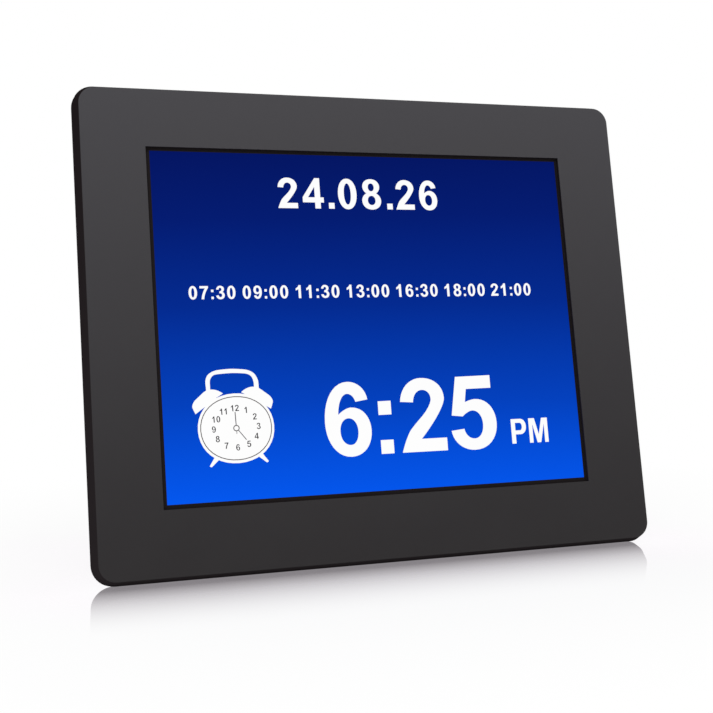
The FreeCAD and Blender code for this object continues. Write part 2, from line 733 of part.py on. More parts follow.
def make_display_ribbon():
    """The flex from the back of the panel down to its connector on the main board."""
    thick = 0.3
    high = PANEL_BACK
    low = BOARD_FRONT + 1
    start, bend, foot, end = 52.5, 44, 36, 30.5
    y0, y1, y2, y3 = (S["board_up"] + step - 40 for step in (start, bend, foot, end))
    return make_ribbon("display_ribbon", 26, S["board_across"] + 2, [
        (y0, high), (y1, high), (y2, low + thick), (y3, low + thick),
        (y3, low), (y2, low), (y1, high - thick), (y0, high - thick),
    ])


def make_button_ribbon():
    """The flat cable from the button board down to the main board."""
    thick = 0.6
    top = S["button_up"] - 1
    edge = S["button_up"] - S["button_board_height"] / 2 - 3
    bend = RIBBON_END + 14
    high = BUTTON_BOARD_FRONT
    low = BOARD_FRONT
    return make_ribbon("button_ribbon", 8, RIBBON_ACROSS, [
        (top, high + thick), (top, high), (edge, high), (bend, low),
        (RIBBON_END, low), (RIBBON_END, low + thick), (bend, low + thick), (edge, high + thick),
    ])


def make_main_board():
    """The board with a hole for each post screw, and what is soldered to it."""
    x, y = S["board_across"], S["board_up"]
    blank = block("main_board_blank", S["board_width"], S["board_height"], S["board_thick"], x, y,
                  BOARD_BACK)
    holes = [disc(f"board_hole_{k}", S["board_shank"] + S["shank_gap"],
                  S["board_thick"] + 2 * PAST, hole_x, hole_y, BOARD_BACK - PAST)
             for k, (hole_x, hole_y) in enumerate(board_post_spots())]
    board = cut("main_board", blank, fuse("board_holes", holes))

    chips = group("board_chips", [
        block("processor", 12, 12, 1.4, x - 2, y + 18, BOARD_FRONT),
        block("memory", 8, 10, 1, x + 13, y + 19, BOARD_FRONT),
        block("flash_memory", 5, 6, 1.2, x - 19, y + 8, BOARD_FRONT),
        block("backlight_driver", 5, 4, 1, x + 12, y - 20, BOARD_FRONT),
        block("sound_amplifier", 5, 4, 1.2, x - 18, y + 10, BOARD_BACK - 1.2),
        block("power_regulator", 6, 6, 1.6, x + 12, y - 8, BOARD_BACK - 1.6),
    ])
    connectors = group("board_connectors", [
        block("display_connector", 30, 5, 1, x + 2, S["board_up"] - 7, BOARD_FRONT),
        block("button_connector", 10, 4, 1, RIBBON_ACROSS, RIBBON_END - 2, BOARD_FRONT),
        block("speaker_connector", 5, 4, 3.5, x - 23, y + 20, BOARD_BACK - 3.5),
    ])
    capacitors = group("board_capacitors", [
        disc("input_capacitor", 3.2, 7, x + 8, y - 26, BOARD_BACK - 7),
        disc("backlight_capacitor", 2.5, 5.5, x, y - 26, BOARD_BACK - 5.5),
        disc("sound_capacitor", 2.5, 5.5, x - 19, y + 2, BOARD_BACK - 5.5),
    ])
    crystal = block("clock_crystal", 7, 2.4, 2.2, x - 16, y - 12, BOARD_BACK - 2.2)
    return [board, chips, connectors, capacitors, crystal]


def make_backup_cell():
    """The coin cell that keeps the time, in a round holder on the back of the main board."""
    x, y = S["board_across"] + 8, S["board_up"] + 16
    shell = disc("cell_holder_shell", 11.6, 5, x, y, BOARD_BACK - 5)
    hollow = disc("cell_holder_hollow", 10.1, 5, x, y, BOARD_BACK - 6.2)
    holder = cut("cell_holder", shell, hollow)
    cell = disc("coin_cell", 10, 3.2, x, y, BOARD_BACK - 4.6)
    return [holder, cell]


def make_power_socket():
    """The round low-voltage inlet in the side wall, and its centre pin."""
    body = new_body("power_socket")
    back, up = S["socket_back"], S["socket_up"]
    half = S["socket_half"]
    housing = sketch_on(body, "socket_housing", "YZ_Plane", SOCKET_WALL)
    polygon(housing, [(up - half, BOARD_BACK), (up - half, SOCKET_FAR),
                      (up + half, SOCKET_FAR), (up + half, BOARD_BACK)])
    pad(body, housing, S["socket_length"], down=True)
    nose = sketch_on(body, "socket_nose_ring", "YZ_Plane", SOCKET_WALL)
    circle(nose, S["socket_nose"], up, -back)
    pad(body, nose, S["socket_nose_length"])
    bore_depth = S["socket_pin_length"] + S["socket_pin_inset"]
    bore = sketch_on(body, "socket_bore_hole", "YZ_Plane", SOCKET_MOUTH)
    circle(bore, S["socket_bore"], up, -back)
    pocket(body, bore, bore_depth)

    pin = new_body("socket_pin")
    round_pin = sketch_on(pin, "socket_pin_round", "YZ_Plane", SOCKET_MOUTH - bore_depth)
    circle(round_pin, S["socket_pin_radius"], up, -back)
    pad(pin, round_pin, S["socket_pin_length"])
    return [body, pin]


def make_speaker():
    """A round speaker that faces the back, as basket, cone and magnet."""
    x, y = -S["speaker_across"], S["speaker_up"]
    radius = S["speaker_radius"]
    depth = S["speaker_depth"]

    basket = new_body("speaker_basket")
    profile = sketch_on(basket, "basket_profile", "XZ_Plane")
    polygon(profile, [(0, depth), (0, depth - 0.8), (radius * 0.5, depth - 0.8),
                      (radius - 1.6, 0.8), (radius - 1.6, 0), (radius, 0), (radius, 1.6),
                      (radius * 0.6, depth)])
    turned(basket, profile)
    cone = new_body("speaker_cone")
    shape = sketch_on(cone, "cone_profile", "XZ_Plane")
    polygon(shape, [(0, 1.6), (3, 2.4), (radius - 2.6, 0.3), (radius - 1.7, 0.3),
                    (radius - 1.7, 0.6), (radius - 2.5, 0.6), (3, 2.8), (0, 2)])
    turned(cone, shape)
    for piece in (basket, cone):
        piece.Placement = FreeCAD.Placement(FreeCAD.Vector(x.value, y.value, TUB_FLOOR.value),
                                            FreeCAD.Rotation())
    magnet = disc("speaker_magnet", radius * 0.56, 3.4, x, y, TUB_FLOOR + depth)
    return [basket, cone, magnet]


def turned(body, sketch):
    """Turn a half outline round the Z axis of its body."""
    feature = body.newObject("PartDesign::Revolution", sketch.Name + "_turned")
    feature.Profile = sketch
    feature.ReferenceAxis = (origin_feature(body, "Z_Axis"), [""])
    feature.Angle = 360
    doc.recompute()
    return feature


def lead_path(points, bend_share=0.45):
    """Straight runs joined by tangent arcs, each as large as its two runs allow."""
    points = [FreeCAD.Vector(*point) for point in points]
    edges = []
    radii = []
    start = points[0]
    for before, corner, after in zip(points, points[1:], points[2:]):
        into = (corner - before).normalize()
        out = (after - corner).normalize()
        back_off = bend_share * min((corner - before).Length, (after - corner).Length)
        turn = into.getAngle(out)
        radius = back_off / math.tan(turn / 2)
        radii.append(round(radius, 1))
        first = corner - into * back_off
        last = corner + out * back_off
        inward = (out - into).normalize()
        middle = corner + inward * (radius / math.cos(turn / 2) - radius)
        edges.append(Part.makeLine(start, first))
        edges.append(Part.Arc(first, middle, last).toShape())
        start = last
    edges.append(Part.makeLine(start, points[-1]))
    print("lead bend radii", radii)
    return Part.Wire(edges)


def make_speaker_leads():
    """Two insulated leads over the channel, from the speaker to the main board."""
    wire_radius = 0.6
    spacing = 1.6
    x, y = -S["speaker_across"].value, S["speaker_up"].value
    over = CHANNEL_INSIDE.value + 1.5
    level = TUB_FLOOR.value + S["speaker_depth"].value + wire_radius + 0.2
    end_x = S["board_across"].value - S["board_width"].value / 2 + 4.5
    end_y = S["board_up"].value + 20
    leads = []
    for k in range(2):
        shift = spacing * k
        points = [
            (x + 10.5, y + 6 + shift, level), (x + 20, y + 13 + shift, level + 0.4),
            (x + 34, y + 22 + shift, over), (x + 52, y + 26 + shift, over + 0.2),
            (x + 70, y + 30 + shift, over), (end_x - 8, end_y - 1.8 + shift, over - 0.4),
            (end_x - 0.1, end_y - 0.8 + shift, BOARD_BACK.value - 1.8),
        ]
        path = lead_path(points)
        heading = path.OrderedEdges[0].tangentAt(0)
        section = Part.Wire(Part.makeCircle(wire_radius, FreeCAD.Vector(*points[0]), heading))
        lead = path.makePipeShell([section], True, False)
        expected = math.pi * wire_radius ** 2 * path.Length
        if abs(lead.Volume - expected) > expected * 0.01:
            raise RuntimeError(f"lead {k} has volume {lead.Volume}, not {expected}")
        leads.append(lead)
    piece = doc.addObject("Part::Feature", "speaker_leads")
    piece.Label = "speaker_leads"
    piece.Shape = Part.makeCompound(leads)
    return piece


def make_buttons():
    """Six caps, the plungers behind them, the switches and their board."""
    y = S["button_up"]
    spots = button_places()
    collar_back = TUB_FLOOR + S["collar_gap"]
    collar_front = collar_back + S["collar_thick"]
    cap_back = TUB_BACK - S["button_proud"]
    pieces = []
    for name, x in zip(BUTTONS, spots):
        cap = new_body(f"button_{name}")
        face = sketch_on(cap, f"cap_{name}", "XY_Plane", cap_back)
        circle(face, S["button_radius"], x, y)
        pad(cap, face, collar_front - cap_back)
        round_edges(cap, S["button_round"], at_depth(cap_back))
        collar = sketch_on(cap, f"collar_{name}", "XY_Plane", collar_back)
        circle(collar, S["collar_radius"], x, y)
        pad(cap, collar, S["collar_thick"])
        stem = sketch_on(cap, f"stem_{name}", "XY_Plane", collar_back)
        circle(stem, S["plunger_radius"], x, y)
        pad(cap, stem, PLUNGER_END - collar_back)
        plunger = disc(f"plunger_{name}", S["plunger_radius"], S["plunger_length"], x, y, PLUNGER_END)
        pieces += [cap, plunger]

    bore_depth = S["plunger_length"] - S["plunger_out"] + S["button_travel"] + S["plunger_gap"]
    switches = []
    for name, x in zip(BUTTONS, spots):
        case = block(f"switch_{name}_case", S["switch_width"], S["switch_width"],
                     S["switch_height"], x, y, SWITCH_BACK)
        bore = disc(f"switch_{name}_bore", S["plunger_radius"] + S["plunger_gap"],
                    bore_depth + PAST, x, y, SWITCH_BACK - PAST)
        switches.append(cut(f"switch_{name}", case, bore))

    thick = S["button_board_thick"]
    blank = block("button_board_blank", S["button_board_width"], S["button_board_height"], thick,
                  0, y, BUTTON_BOARD_BACK)
    holes = [disc(f"button_board_hole_{k}", S["board_shank"] + S["shank_gap"], thick + 2 * PAST,
                  x, hole_y, BUTTON_BOARD_BACK - PAST)
             for k, (x, hole_y) in enumerate(button_board_post_spots())]
    board = cut("button_board", blank, fuse("button_board_holes", holes))
    return pieces + [group("tact_switches", switches), board]


def make_screws():
    """The case screws from behind, and the board screws from in front."""
    case_head_height, board_head_height = 1.1, 1.4
    case = [screw(f"case_screw_{k}", x, y, S["case_seat"], S["case_head"], case_head_height,
                  S["case_shank"], S["case_length"], True)
            for k, (x, y) in enumerate(case_screw_spots())]
    boards = []
    for seat, spots in ((BOARD_FRONT, board_post_spots()),
                        (BUTTON_BOARD_FRONT, button_board_post_spots())):
        for x, y in spots:
            boards.append(screw(f"board_screw_{len(boards)}", x, y, seat, S["board_head"],
                                board_head_height, S["board_shank"], S["board_length"], False))
    return [group("case_screws", case), group("board_screws", boards)]


def make_hinge_pin():
    pin = new_body("hinge_pin")
    end = sketch_on(pin, "pin_end", "YZ_Plane")
    circle(end, S["pin_radius"], S["hinge_up"], HINGE_DEPTH)
    pad(pin, end, S["pin_length"], both=True)
    return pin


# The leg and its foot are drawn folded, about a hinge line through the origin along X.

def make_stand_leg():
    """A plate with a pin bore, a heel that stops on the channel's floor, ribs and a tongue."""
    body = new_body("stand_leg")
    half = S["leg_thick"] / 2
    opening = S["stand_opening"]
    stop = S["channel_depth"] - S["leg_inset"] - half - S["heel_gap"]
    heel_foot = (stop - half * cosine(opening)) / sine(opening)
    heel_y = heel_foot + S["heel_length"] * cosine(opening)
    heel_z = half - S["heel_length"] * sine(opening)
    profile = sketch_on(body, "leg_side", "YZ_Plane")
    polygon(profile, [
        (-S["leg_length"], half), (-S["leg_length"], -half), (heel_y - 2.2, -half),
        (heel_y, -0.6), (heel_y, heel_z), (heel_foot, half),
    ])
    pad(body, profile, S["leg_width"], both=True)

    tapers = sketch_on(body, "leg_tapers", "XY_Plane", -5)
    for side in (-1, 1):
        outside = side * (S["leg_width"] / 2 + 2)
        polygon(tapers, [(side * S["leg_width"] / 2, -14), (outside, -14),
                         (outside, -S["leg_length"] - 1),
                         (side * S["leg_tip_width"] / 2, -S["leg_length"] - 1)])
    pocket(body, tapers, 10, up=True)

    bore = sketch_on(body, "leg_bore", "YZ_Plane")
    circle(bore, S["pin_radius"] + S["pin_gap"])
    pocket(body, bore, S["leg_width"] + 4, both=True)

    rib, skin, rows = 2, 1.8, 4
    row_height = (S["leg_length"] - 14) / rows
    hollows = sketch_on(body, "leg_hollows", "XY_Plane", half)
    for row in range(rows):
        top = -8 - row_height * row
        width = (S["leg_tip_width"] - 3 * rib) / 2 + (rows - 1 - row) * 0.8
        for side in (-1, 1):
            rectangle(hollows, width, row_height - rib, side * (width + rib) / 2,
                      top - (row_height - rib) / 2)
    pocket(body, hollows, S["leg_thick"] - skin)

    groove = sketch_on(body, "leg_grip", "XY_Plane", -half)
    rectangle(groove, 22, 1.2, 0, -S["leg_length"] + 6)
    row_of(body, pocket(body, groove, 0.6, up=True), "Y_Axis", as_size(3), as_size(4))

    tongue = sketch_on(body, "leg_tongue", "XY_Plane")
    rectangle(tongue, S["tongue_width"], S["tongue_length"] + 0.5, 0,
              -S["leg_length"] - S["tongue_length"] / 2 + 0.25)
    pad(body, tongue, S["tongue_thick"], both=True)
    return body


def make_foot_pad():
    """The rubber tip of the leg, cut so that it lies flat on the floor when the leg is open."""
    body = new_body("foot_pad")
    half = S["leg_thick"] / 2
    reach = HINGE_HEIGHT / cosine(LEG_TILT)
    slope = half * tangent(LEG_TILT)
    side = sketch_on(body, "foot_side", "YZ_Plane")
    polygon(side, [(-S["leg_length"], half), (-S["leg_length"], -half),
                   (-reach - slope, -half), (slope - reach, half)])
    pad(body, side, S["leg_tip_width"] - 0.2, both=True)
    socket = sketch_on(body, "foot_socket", "XY_Plane", -S["tongue_thick"] / 2)
    rectangle(socket, S["tongue_width"], S["tongue_length"], 0,
              -S["leg_length"] - S["tongue_length"] / 2)
    pocket(body, socket, S["tongue_thick"], up=True)
    return body


def check(pieces):
    for item in doc.Objects:
        if "Invalid" in item.State or "Error" in item.State:
            raise RuntimeError(f"{item.Name} failed: {item.State}")
    for piece in pieces:
        if piece.Shape.isNull() or not piece.Shape.isValid() or not piece.Shape.Solids:
            raise RuntimeError(f"{piece.Label} has no valid solid")


def bounds(pieces):
    """The tight box round all the pieces as they stand now."""
    whole = FreeCAD.BoundBox()
    for piece in pieces:
        whole.add(piece.Shape.optimalBoundingBox(False, False))
    return whole


def stand(fixed, leg):
    """Lean the slab back, open the leg, and put the whole on the floor, centred."""
    lean = FreeCAD.Rotation(FreeCAD.Vector(1, 0, 0), 90 - S["lean_angle"].value)
    drop = FreeCAD.Vector(0, 0, -EDGE_DROP.value)
    own = {piece: FreeCAD.Placement(piece.Placement) for piece in fixed}
    hinge = FreeCAD.Vector(0, S["hinge_up"].value, HINGE_DEPTH.value)
    turn = FreeCAD.Rotation(FreeCAD.Vector(1, 0, 0), S["stand_opening"].value)
    for piece in leg:
        own[piece] = FreeCAD.Placement(hinge, turn)
    slab = FreeCAD.Placement(drop, lean)
    for _ in range(2):
        for piece, placement in own.items():
            set_placement(piece, slab.multiply(placement))
        doc.recompute()
        box = bounds(own)
        slab.Base.y -= (box.YMin + box.YMax) / 2
    return slab


def set_placement(piece, placement):
    for path, _ in list(piece.ExpressionEngine):
        if path.startswith(("Placement", ".Placement")):
            piece.setExpression(path, None)
    piece.Placement = placement


fixed_pieces = [make_front_bezel()] + make_panel()
fixed_pieces += [make_display_ribbon(), make_button_ribbon()] + make_main_board()
fixed_pieces += make_backup_cell() + make_power_socket() + make_speaker() + [make_speaker_leads()]
fixed_pieces += make_buttons() + [make_rear_cover()] + make_screws() + [make_hinge_pin()]
leg_pieces = [make_stand_leg(), make_foot_pad()]
doc.recompute()
check(fixed_pieces + leg_pieces)
slab = stand(fixed_pieces, leg_pieces)
check(fixed_pieces + leg_pieces)


def print_places():
    """Say where the joints and the mounts came to lie."""
    places = (
        ("hinge", 0, S["hinge_up"], HINGE_DEPTH),
        ("socket mouth", SOCKET_MOUTH, S["socket_up"], -S["socket_back"]),
        ("left keyhole", -S["keyhole_across"], S["keyhole_up"], TUB_BACK),
        ("right keyhole", S["keyhole_across"], S["keyhole_up"], TUB_BACK),
        ("first button", button_places()[0], S["button_up"], TUB_BACK),
        ("channel foot", 0, S["tub_up"] - S["tub_height"] / 2, TUB_BACK),
    )
    for name, *place in places:
        point = slab.multVec(FreeCAD.Vector(*(as_size(size).value for size in place)))
        print(f"{name}: {point.x:.4f} {point.y:.4f} {point.z:.4f}")


print_places()
os.makedirs("parts", exist_ok=True)
for piece in fixed_pieces + leg_pieces:
    piece.Shape.exportStep(f"parts/{piece.Label}.step")
print(len(fixed_pieces + leg_pieces), "pieces in", bounds(fixed_pieces + leg_pieces))
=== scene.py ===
import json
import math

import bmesh
import bpy
from mathutils import Matrix, Vector


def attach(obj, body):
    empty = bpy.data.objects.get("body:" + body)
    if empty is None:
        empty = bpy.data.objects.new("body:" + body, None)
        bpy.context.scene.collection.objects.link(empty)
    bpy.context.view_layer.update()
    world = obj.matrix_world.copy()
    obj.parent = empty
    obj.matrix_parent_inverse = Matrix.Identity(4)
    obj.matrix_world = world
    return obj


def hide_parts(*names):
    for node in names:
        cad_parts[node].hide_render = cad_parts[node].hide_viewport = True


# A day clock on a white table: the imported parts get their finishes, the housing gets smooth
# shading, and the lit picture, the screws and the printed signs are made here.
#
# Slab millimetres: X to the reader's right, Y up the face from its lower edge, Z out of the face
# from the back edge of the rim. SLAB takes them to the frame's metres.

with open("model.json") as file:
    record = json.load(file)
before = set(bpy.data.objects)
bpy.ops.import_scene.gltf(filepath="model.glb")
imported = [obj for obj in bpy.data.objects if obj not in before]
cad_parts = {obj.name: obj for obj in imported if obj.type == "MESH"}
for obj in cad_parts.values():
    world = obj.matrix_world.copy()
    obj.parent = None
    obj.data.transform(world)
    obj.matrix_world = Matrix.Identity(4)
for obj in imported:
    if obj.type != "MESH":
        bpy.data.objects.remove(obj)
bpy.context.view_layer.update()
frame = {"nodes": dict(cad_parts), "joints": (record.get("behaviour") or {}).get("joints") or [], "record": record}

NODES = frame["nodes"]
JOINTS = {joint["name"]: joint for joint in frame["joints"]}
SLOT_OF = {part["node"]: part["material_slot"] for part in frame["record"]["subparts"]}
MM = 0.001

# The hinge line of the stand in slab millimetres, which places the slab in the frame.
HINGE_UP, HINGE_OUT = 110.0, -13.1

OUT = Vector(JOINTS["press_power"]["axis"]).normalized()
RIGHT = Vector((1, 0, 0))
UP = OUT.cross(RIGHT)
LEAN = math.degrees(math.asin(OUT.z))
CORNER = Vector(JOINTS["stand_fold"]["pos_m"]) - (HINGE_UP * UP + HINGE_OUT * OUT) * MM
SLAB = (Matrix.Translation(CORNER) @ Matrix((RIGHT, UP, OUT)).transposed().to_4x4()
        @ Matrix.Scale(MM, 4))

# The face, the window and the lit picture.
FACE_WIDTH, FACE_HEIGHT, RIM_DEPTH = 211.0, 170.0, 8.0
LCD_FRONT = 6.2
PICTURE_WIDTH, PICTURE_HEIGHT = 161.8, 123.9
PICTURE_X, PICTURE_Y = -0.3, 86.05

# The rear cover's back wall, and the buttons in it as they read from behind.
TUB_BACK = -16.0
BUTTONS = ("power", "menu", "left", "up", "down", "right")
BUTTON_PITCH = 16.0

WHITE = (1.0, 1.0, 1.0, 1.0)
PANEL_BLACK = (0.0165, 0.0135, 0.014, 1.0)

# How much less steep the picture's gradient is for each millimetre to the right.
GRADIENT_EASING = 0.0006

# Points closer than these are one point: in a node, in metres, and in a flat plate.
JOINED_IN_NODE, JOINED_IN_PLATE = 0.002 * MM, 0.00001

# Edges that turn by more than these angles stay sharp.
HOUSING_SHARP, SCREW_SHARP = math.radians(32), math.radians(35)


class Link:
    """One output of a node. Arithmetic on it adds Math nodes."""

    def __init__(self, network, socket):
        self.network = network
        self.socket = socket

    def pick(self, name):
        return Link(self.network, self.network.find(self.socket.node.outputs, name))

    def __add__(self, other):
        return self.network.maths("ADD", self, other)

    def __radd__(self, other):
        return self.network.maths("ADD", other, self)

    def __sub__(self, other):
        return self.network.maths("SUBTRACT", self, other)

    def __rsub__(self, other):
        return self.network.maths("SUBTRACT", other, self)

    def __mul__(self, other):
        return self.network.maths("MULTIPLY", self, other)

    def __rmul__(self, other):
        return self.network.maths("MULTIPLY", other, self)

    def __truediv__(self, other):
        return self.network.maths("DIVIDE", self, other)

    def __pow__(self, other):
        return self.network.maths("POWER", self, other)

    def __abs__(self):
        return self.network.maths("ABSOLUTE", self)

    def __lt__(self, other):
        return self.network.maths("LESS_THAN", self, other)

    def __gt__(self, other):
        return self.network.maths("GREATER_THAN", self, other)


class Network:
    """A node tree under construction."""

    def __init__(self, tree):
        self.tree = tree

    def find(self, sockets, name):
        for socket in sockets:
            if socket.enabled and name in (socket.identifier, socket.name):
                return socket
        raise KeyError(name)

    def feed(self, socket, value):
        if isinstance(value, Link):
            self.tree.links.new(value.socket, socket)
        else:
            socket.default_value = value

    def add(self, kind, settings=None, sockets=None):
        """A node of that kind, with its settings first and then its sockets' values or links."""
        node = self.tree.nodes.new(kind)
        for name, value in (settings or {}).items():
            if name == "stops":
                self.set_stops(node.color_ramp.elements, value)
            else:
                setattr(node, name, value)
        for name, value in (sockets or {}).items():
            self.feed(self.find(node.inputs, name), value)
        return Link(self, node.outputs[0]) if node.outputs else None

    def set_stops(self, elements, stops):
        while len(elements) < len(stops):
            elements.new(1.0)
        for element, (position, colour) in zip(elements, stops):
            element.position = position
            element.color = colour

    def maths(self, operation, *values):
        node = self.tree.nodes.new("ShaderNodeMath")
        node.operation = operation
        for socket, value in zip(node.inputs, values):
            self.feed(socket, value)
        return Link(self, node.outputs[0])


def grey(level):
    return (level, level, level, 1.0)


def colour_of_screen(red, green, blue):
    """The linear colour of a screen value from 0 to 255."""
    return (*(linear(level / 255) for level in (red, green, blue)), 1.0)


def linear(level):
    return level / 12.92 if level <= 0.04045 else ((level + 0.055) / 1.055) ** 2.4


class Finish(Network):
    """A surface: one Principled shader, its constants, and what varies over the surface."""

    def __init__(self, name, colour, roughness, **constants):
        self.material = bpy.data.materials.new(name)
        self.material.use_nodes = True
        super().__init__(self.material.node_tree)
        self.shader = self.tree.nodes["Principled BSDF"]
        self.set(**{"Base Color": colour, "Roughness": roughness, **constants})
        self.place = None

    def set(self, **values):
        for name, value in values.items():
            self.feed(self.find(self.shader.inputs, name), value)
        return self

    def slab(self):
        """The place on the object in slab millimetres."""
        if self.place is None:
            place = self.add("ShaderNodeTexCoord").pick("Object")
            self.place = self.add("ShaderNodeMapping", {"vector_type": "TEXTURE"}, {
                "Vector": place, "Location": CORNER, "Scale": (MM, MM, MM),
                "Rotation": (math.radians(90 - LEAN), 0, 0),
            })
        return self.place

    def axes(self):
        parts = self.add("ShaderNodeSeparateXYZ", None, {"Vector": self.slab()})
        return parts, parts.pick("Y"), parts.pick("Z")

    def stretched(self, x, y, z):
        """Slab millimetres with each axis scaled."""
        return self.add("ShaderNodeVectorMath", {"operation": "MULTIPLY"},
                        {"Vector": self.slab(), "Vector_001": (x, y, z)})

    def noise(self, per_mm, detail=2.0, rough=0.5, place=None):
        return self.add("ShaderNodeTexNoise", None, {
            "Vector": place or self.slab(), "Scale": per_mm, "Detail": detail, "Roughness": rough,
        })

    def cells(self, per_mm, place=None):
        return self.add("ShaderNodeTexVoronoi", {"feature": "F1"}, {
            "Vector": place or self.slab(), "Scale": per_mm,
        })

    def smooth(self, value, low, high):
        """0 where value is at low and 1 where it is at high, with soft ends."""
        return self.add("ShaderNodeMapRange", {"interpolation_type": "SMOOTHSTEP"}, {
            "Value": value, "From Min": low, "From Max": high,
        })

    def mix(self, factor, first, second):
        return self.add("ShaderNodeMix", {"data_type": "RGBA"}, {
            "Factor_Float": factor, "A_Color": first, "B_Color": second,
        }).pick("Result_Color")

    def ramp(self, value, stops):
        return self.add("ShaderNodeValToRGB", {"stops": stops}, {"Fac": value})

    def bump(self, height, depth_mm):
        """Relief of that depth in millimetres, from a height of 0 to 1."""
        normal = self.add("ShaderNodeBump", None, {
            "Height": height, "Distance": depth_mm * MM, "Strength": 1.0,
        })
        return self.set(Normal=normal)

    def mottle(self, colour, amount, per_mm=0.05):
        """The colour, a little lighter and darker from place to place."""
        darker = [channel * (1 - amount) for channel in colour[:3]] + [1]
        lighter = [channel * (1 + amount) for channel in colour[:3]] + [1]
        return self.mix(self.noise(per_mm, 3.0), darker, lighter)

    def vary_roughness(self, middle, amount, per_mm=0.3):
        return self.set(Roughness=self.noise(per_mm, 3.0) * (2 * amount) + (middle - amount))


def moulded(name, level, roughness, grain_per_mm, depth_mm, tint=(1.0, 1.0, 1.0), specular=0.3):
    """Moulded plastic with the fine pitted texture of an eroded mould, with painted shade in its pits and painted
    light on the rises between them.
    """
    colour = [level * part for part in tint] + [1]
    finish = Finish(name, colour, roughness, **{"Specular IOR Level": specular})
    finish.vary_roughness(roughness, 0.06)
    pits = finish.cells(grain_per_mm) * 0.6 + finish.noise(grain_per_mm * 1.7, 3.0) * 0.6
    # Painted shade and light: the colour is darker in the pits and lighter on the rises. This stands in for the
    # shade the pits would cast.
    peak_painted_light = [min(channel * 1.5, 1.0) for channel in colour[:3]] + [1]
    pit_painted_shade = [channel * 0.62 for channel in colour[:3]] + [1]
    pit_light_and_shade = finish.mix(finish.smooth(pits, 0.25, 0.95), pit_painted_shade, peak_painted_light)
    finish.set(**{"Base Color": finish.mix(0.45, finish.mottle(colour, 0.1), pit_light_and_shade)})
    return finish.bump(pits, depth_mm)


def brushed(name, colour, roughness, across=(0.02, 3.0, 3.0), depth_mm=0.004):
    """Rolled or ground metal: long fine lines along X."""
    finish = Finish(name, colour, roughness, Metallic=1.0)
    lines = finish.noise(1.0, 4.0, 0.6, finish.stretched(*across))
    finish.set(**{"Base Color": finish.mottle(colour, 0.06, 0.1)})
    finish.set(Roughness=lines * 0.2 + (roughness - 0.1))
    return finish.bump(lines, depth_mm)


def bezel_finish():
    """Satin grey on the flat front with painted light that makes it lighter towards the top, and matt near-black
    on the rim with painted shade that makes it darker towards the top.
    """
    # Painted light and shade: the front is lighter at the top and darker at the foot, and the rim is darker at the
    # top and lighter at the foot. These stand in for how light falls on them.
    front_painted_light_top, front_painted_shade_low = (0.066, 0.064, 0.070, 1), (0.029, 0.0265, 0.0275, 1)
    rim_painted_shade_top, rim_painted_light_low = (0.0145, 0.011, 0.012, 1), (0.022, 0.018, 0.0195, 1)
    finish = Finish("bezel_satin", front_painted_shade_low, 0.6, **{
        "Specular IOR Level": 0.0, "Coat Roughness": 0.45,
    })
    _, height, depth = finish.axes()
    # The share up the face that carries the painted light and shade.
    painted_light_share = finish.maths("MAXIMUM", height / FACE_HEIGHT, 0.0) ** 1.2
    front = finish.mix(painted_light_share, front_painted_shade_low, front_painted_light_top)
    front = finish.mix(finish.noise(0.04, 2.0) * 0.1, front, grey(0.07))
    rim = finish.mix(painted_light_share, rim_painted_light_low, rim_painted_shade_top)
    on_front = finish.smooth(depth, RIM_DEPTH - 0.4, RIM_DEPTH - 0.1)
    finish.set(**{
        "Base Color": finish.mix(on_front, rim, front), "Coat Weight": on_front * 0.12,
    })
    finish.vary_roughness(0.6, 0.05)
    return finish.bump(finish.noise(7.0, 3.0, 0.6), 0.008)


def screen_finish():
    """The picture's blue, darker towards the top, inside a black border."""
    finish = Finish("screen_picture", grey(0.001), 0.35, **{
        "Specular IOR Level": 0.01, "Emission Strength": 1.0,
    })
    across, height, _ = finish.axes()
    steepness = 1 - (across + PICTURE_WIDTH / 2) * GRADIENT_EASING
    level = (height - PICTURE_Y) / PICTURE_HEIGHT * steepness + 0.5
    blue = finish.ramp(level, [
        (0.0, colour_of_screen(0, 87, 239)), (0.27, colour_of_screen(0, 64, 189)),
        (0.55, colour_of_screen(0, 41, 143)), (0.8, colour_of_screen(0, 26, 113)),
        (1.0, colour_of_screen(0, 19, 97)),
    ])
    inside = ((abs(across - PICTURE_X) < PICTURE_WIDTH / 2)
              * (abs(height - PICTURE_Y) < PICTURE_HEIGHT / 2))
    finish.set(**{
        "Base Color": finish.mix(inside, PANEL_BLACK, grey(0.0005)),
        "Emission Color": finish.mix(inside, grey(0.0), blue),
    })
    finish.vary_roughness(0.35, 0.04, 2.0)
    return finish.bump(finish.noise(9.0, 2.0), 0.002)


def lit_finish(name, colour):
    """A plain lit part of the picture, with the faint unevenness of the light behind it."""
    finish = Finish(name, grey(0.0005), 0.35, **{
        "Specular IOR Level": 0.01, "Emission Strength": 1.0,
    })
    dimmer = [channel * 0.97 for channel in colour[:3]] + [1]
    return finish.set(**{"Emission Color": finish.mix(finish.noise(0.03, 2.0), dimmer, colour)})


def board_finish():
    """Green solder mask over copper tracks and round lands."""
    mask, track, land = (0.006, 0.06, 0.022, 1), (0.012, 0.11, 0.04, 1), (0.62, 0.5, 0.28, 1)
    finish = Finish("board_mask", mask, 0.3)
    routes = finish.add("ShaderNodeTexBrick", {"offset": 0.37, "offset_frequency": 3}, {
        "Vector": finish.stretched(1, 1, 0), "Scale": 0.28, "Mortar Size": 0.035,
        "Color1": grey(0.0), "Color2": grey(0.0), "Mortar": grey(1.0),
    })
    dots = finish.cells(0.34, place=finish.stretched(1, 1, 0)) < 0.075
    colour = finish.mix(routes, mask, track)
    finish.set(**{"Base Color": finish.mix(dots, colour, land), "Metallic": dots * 0.9})
    finish.vary_roughness(0.3, 0.08)
    return finish.bump(routes, 0.03)


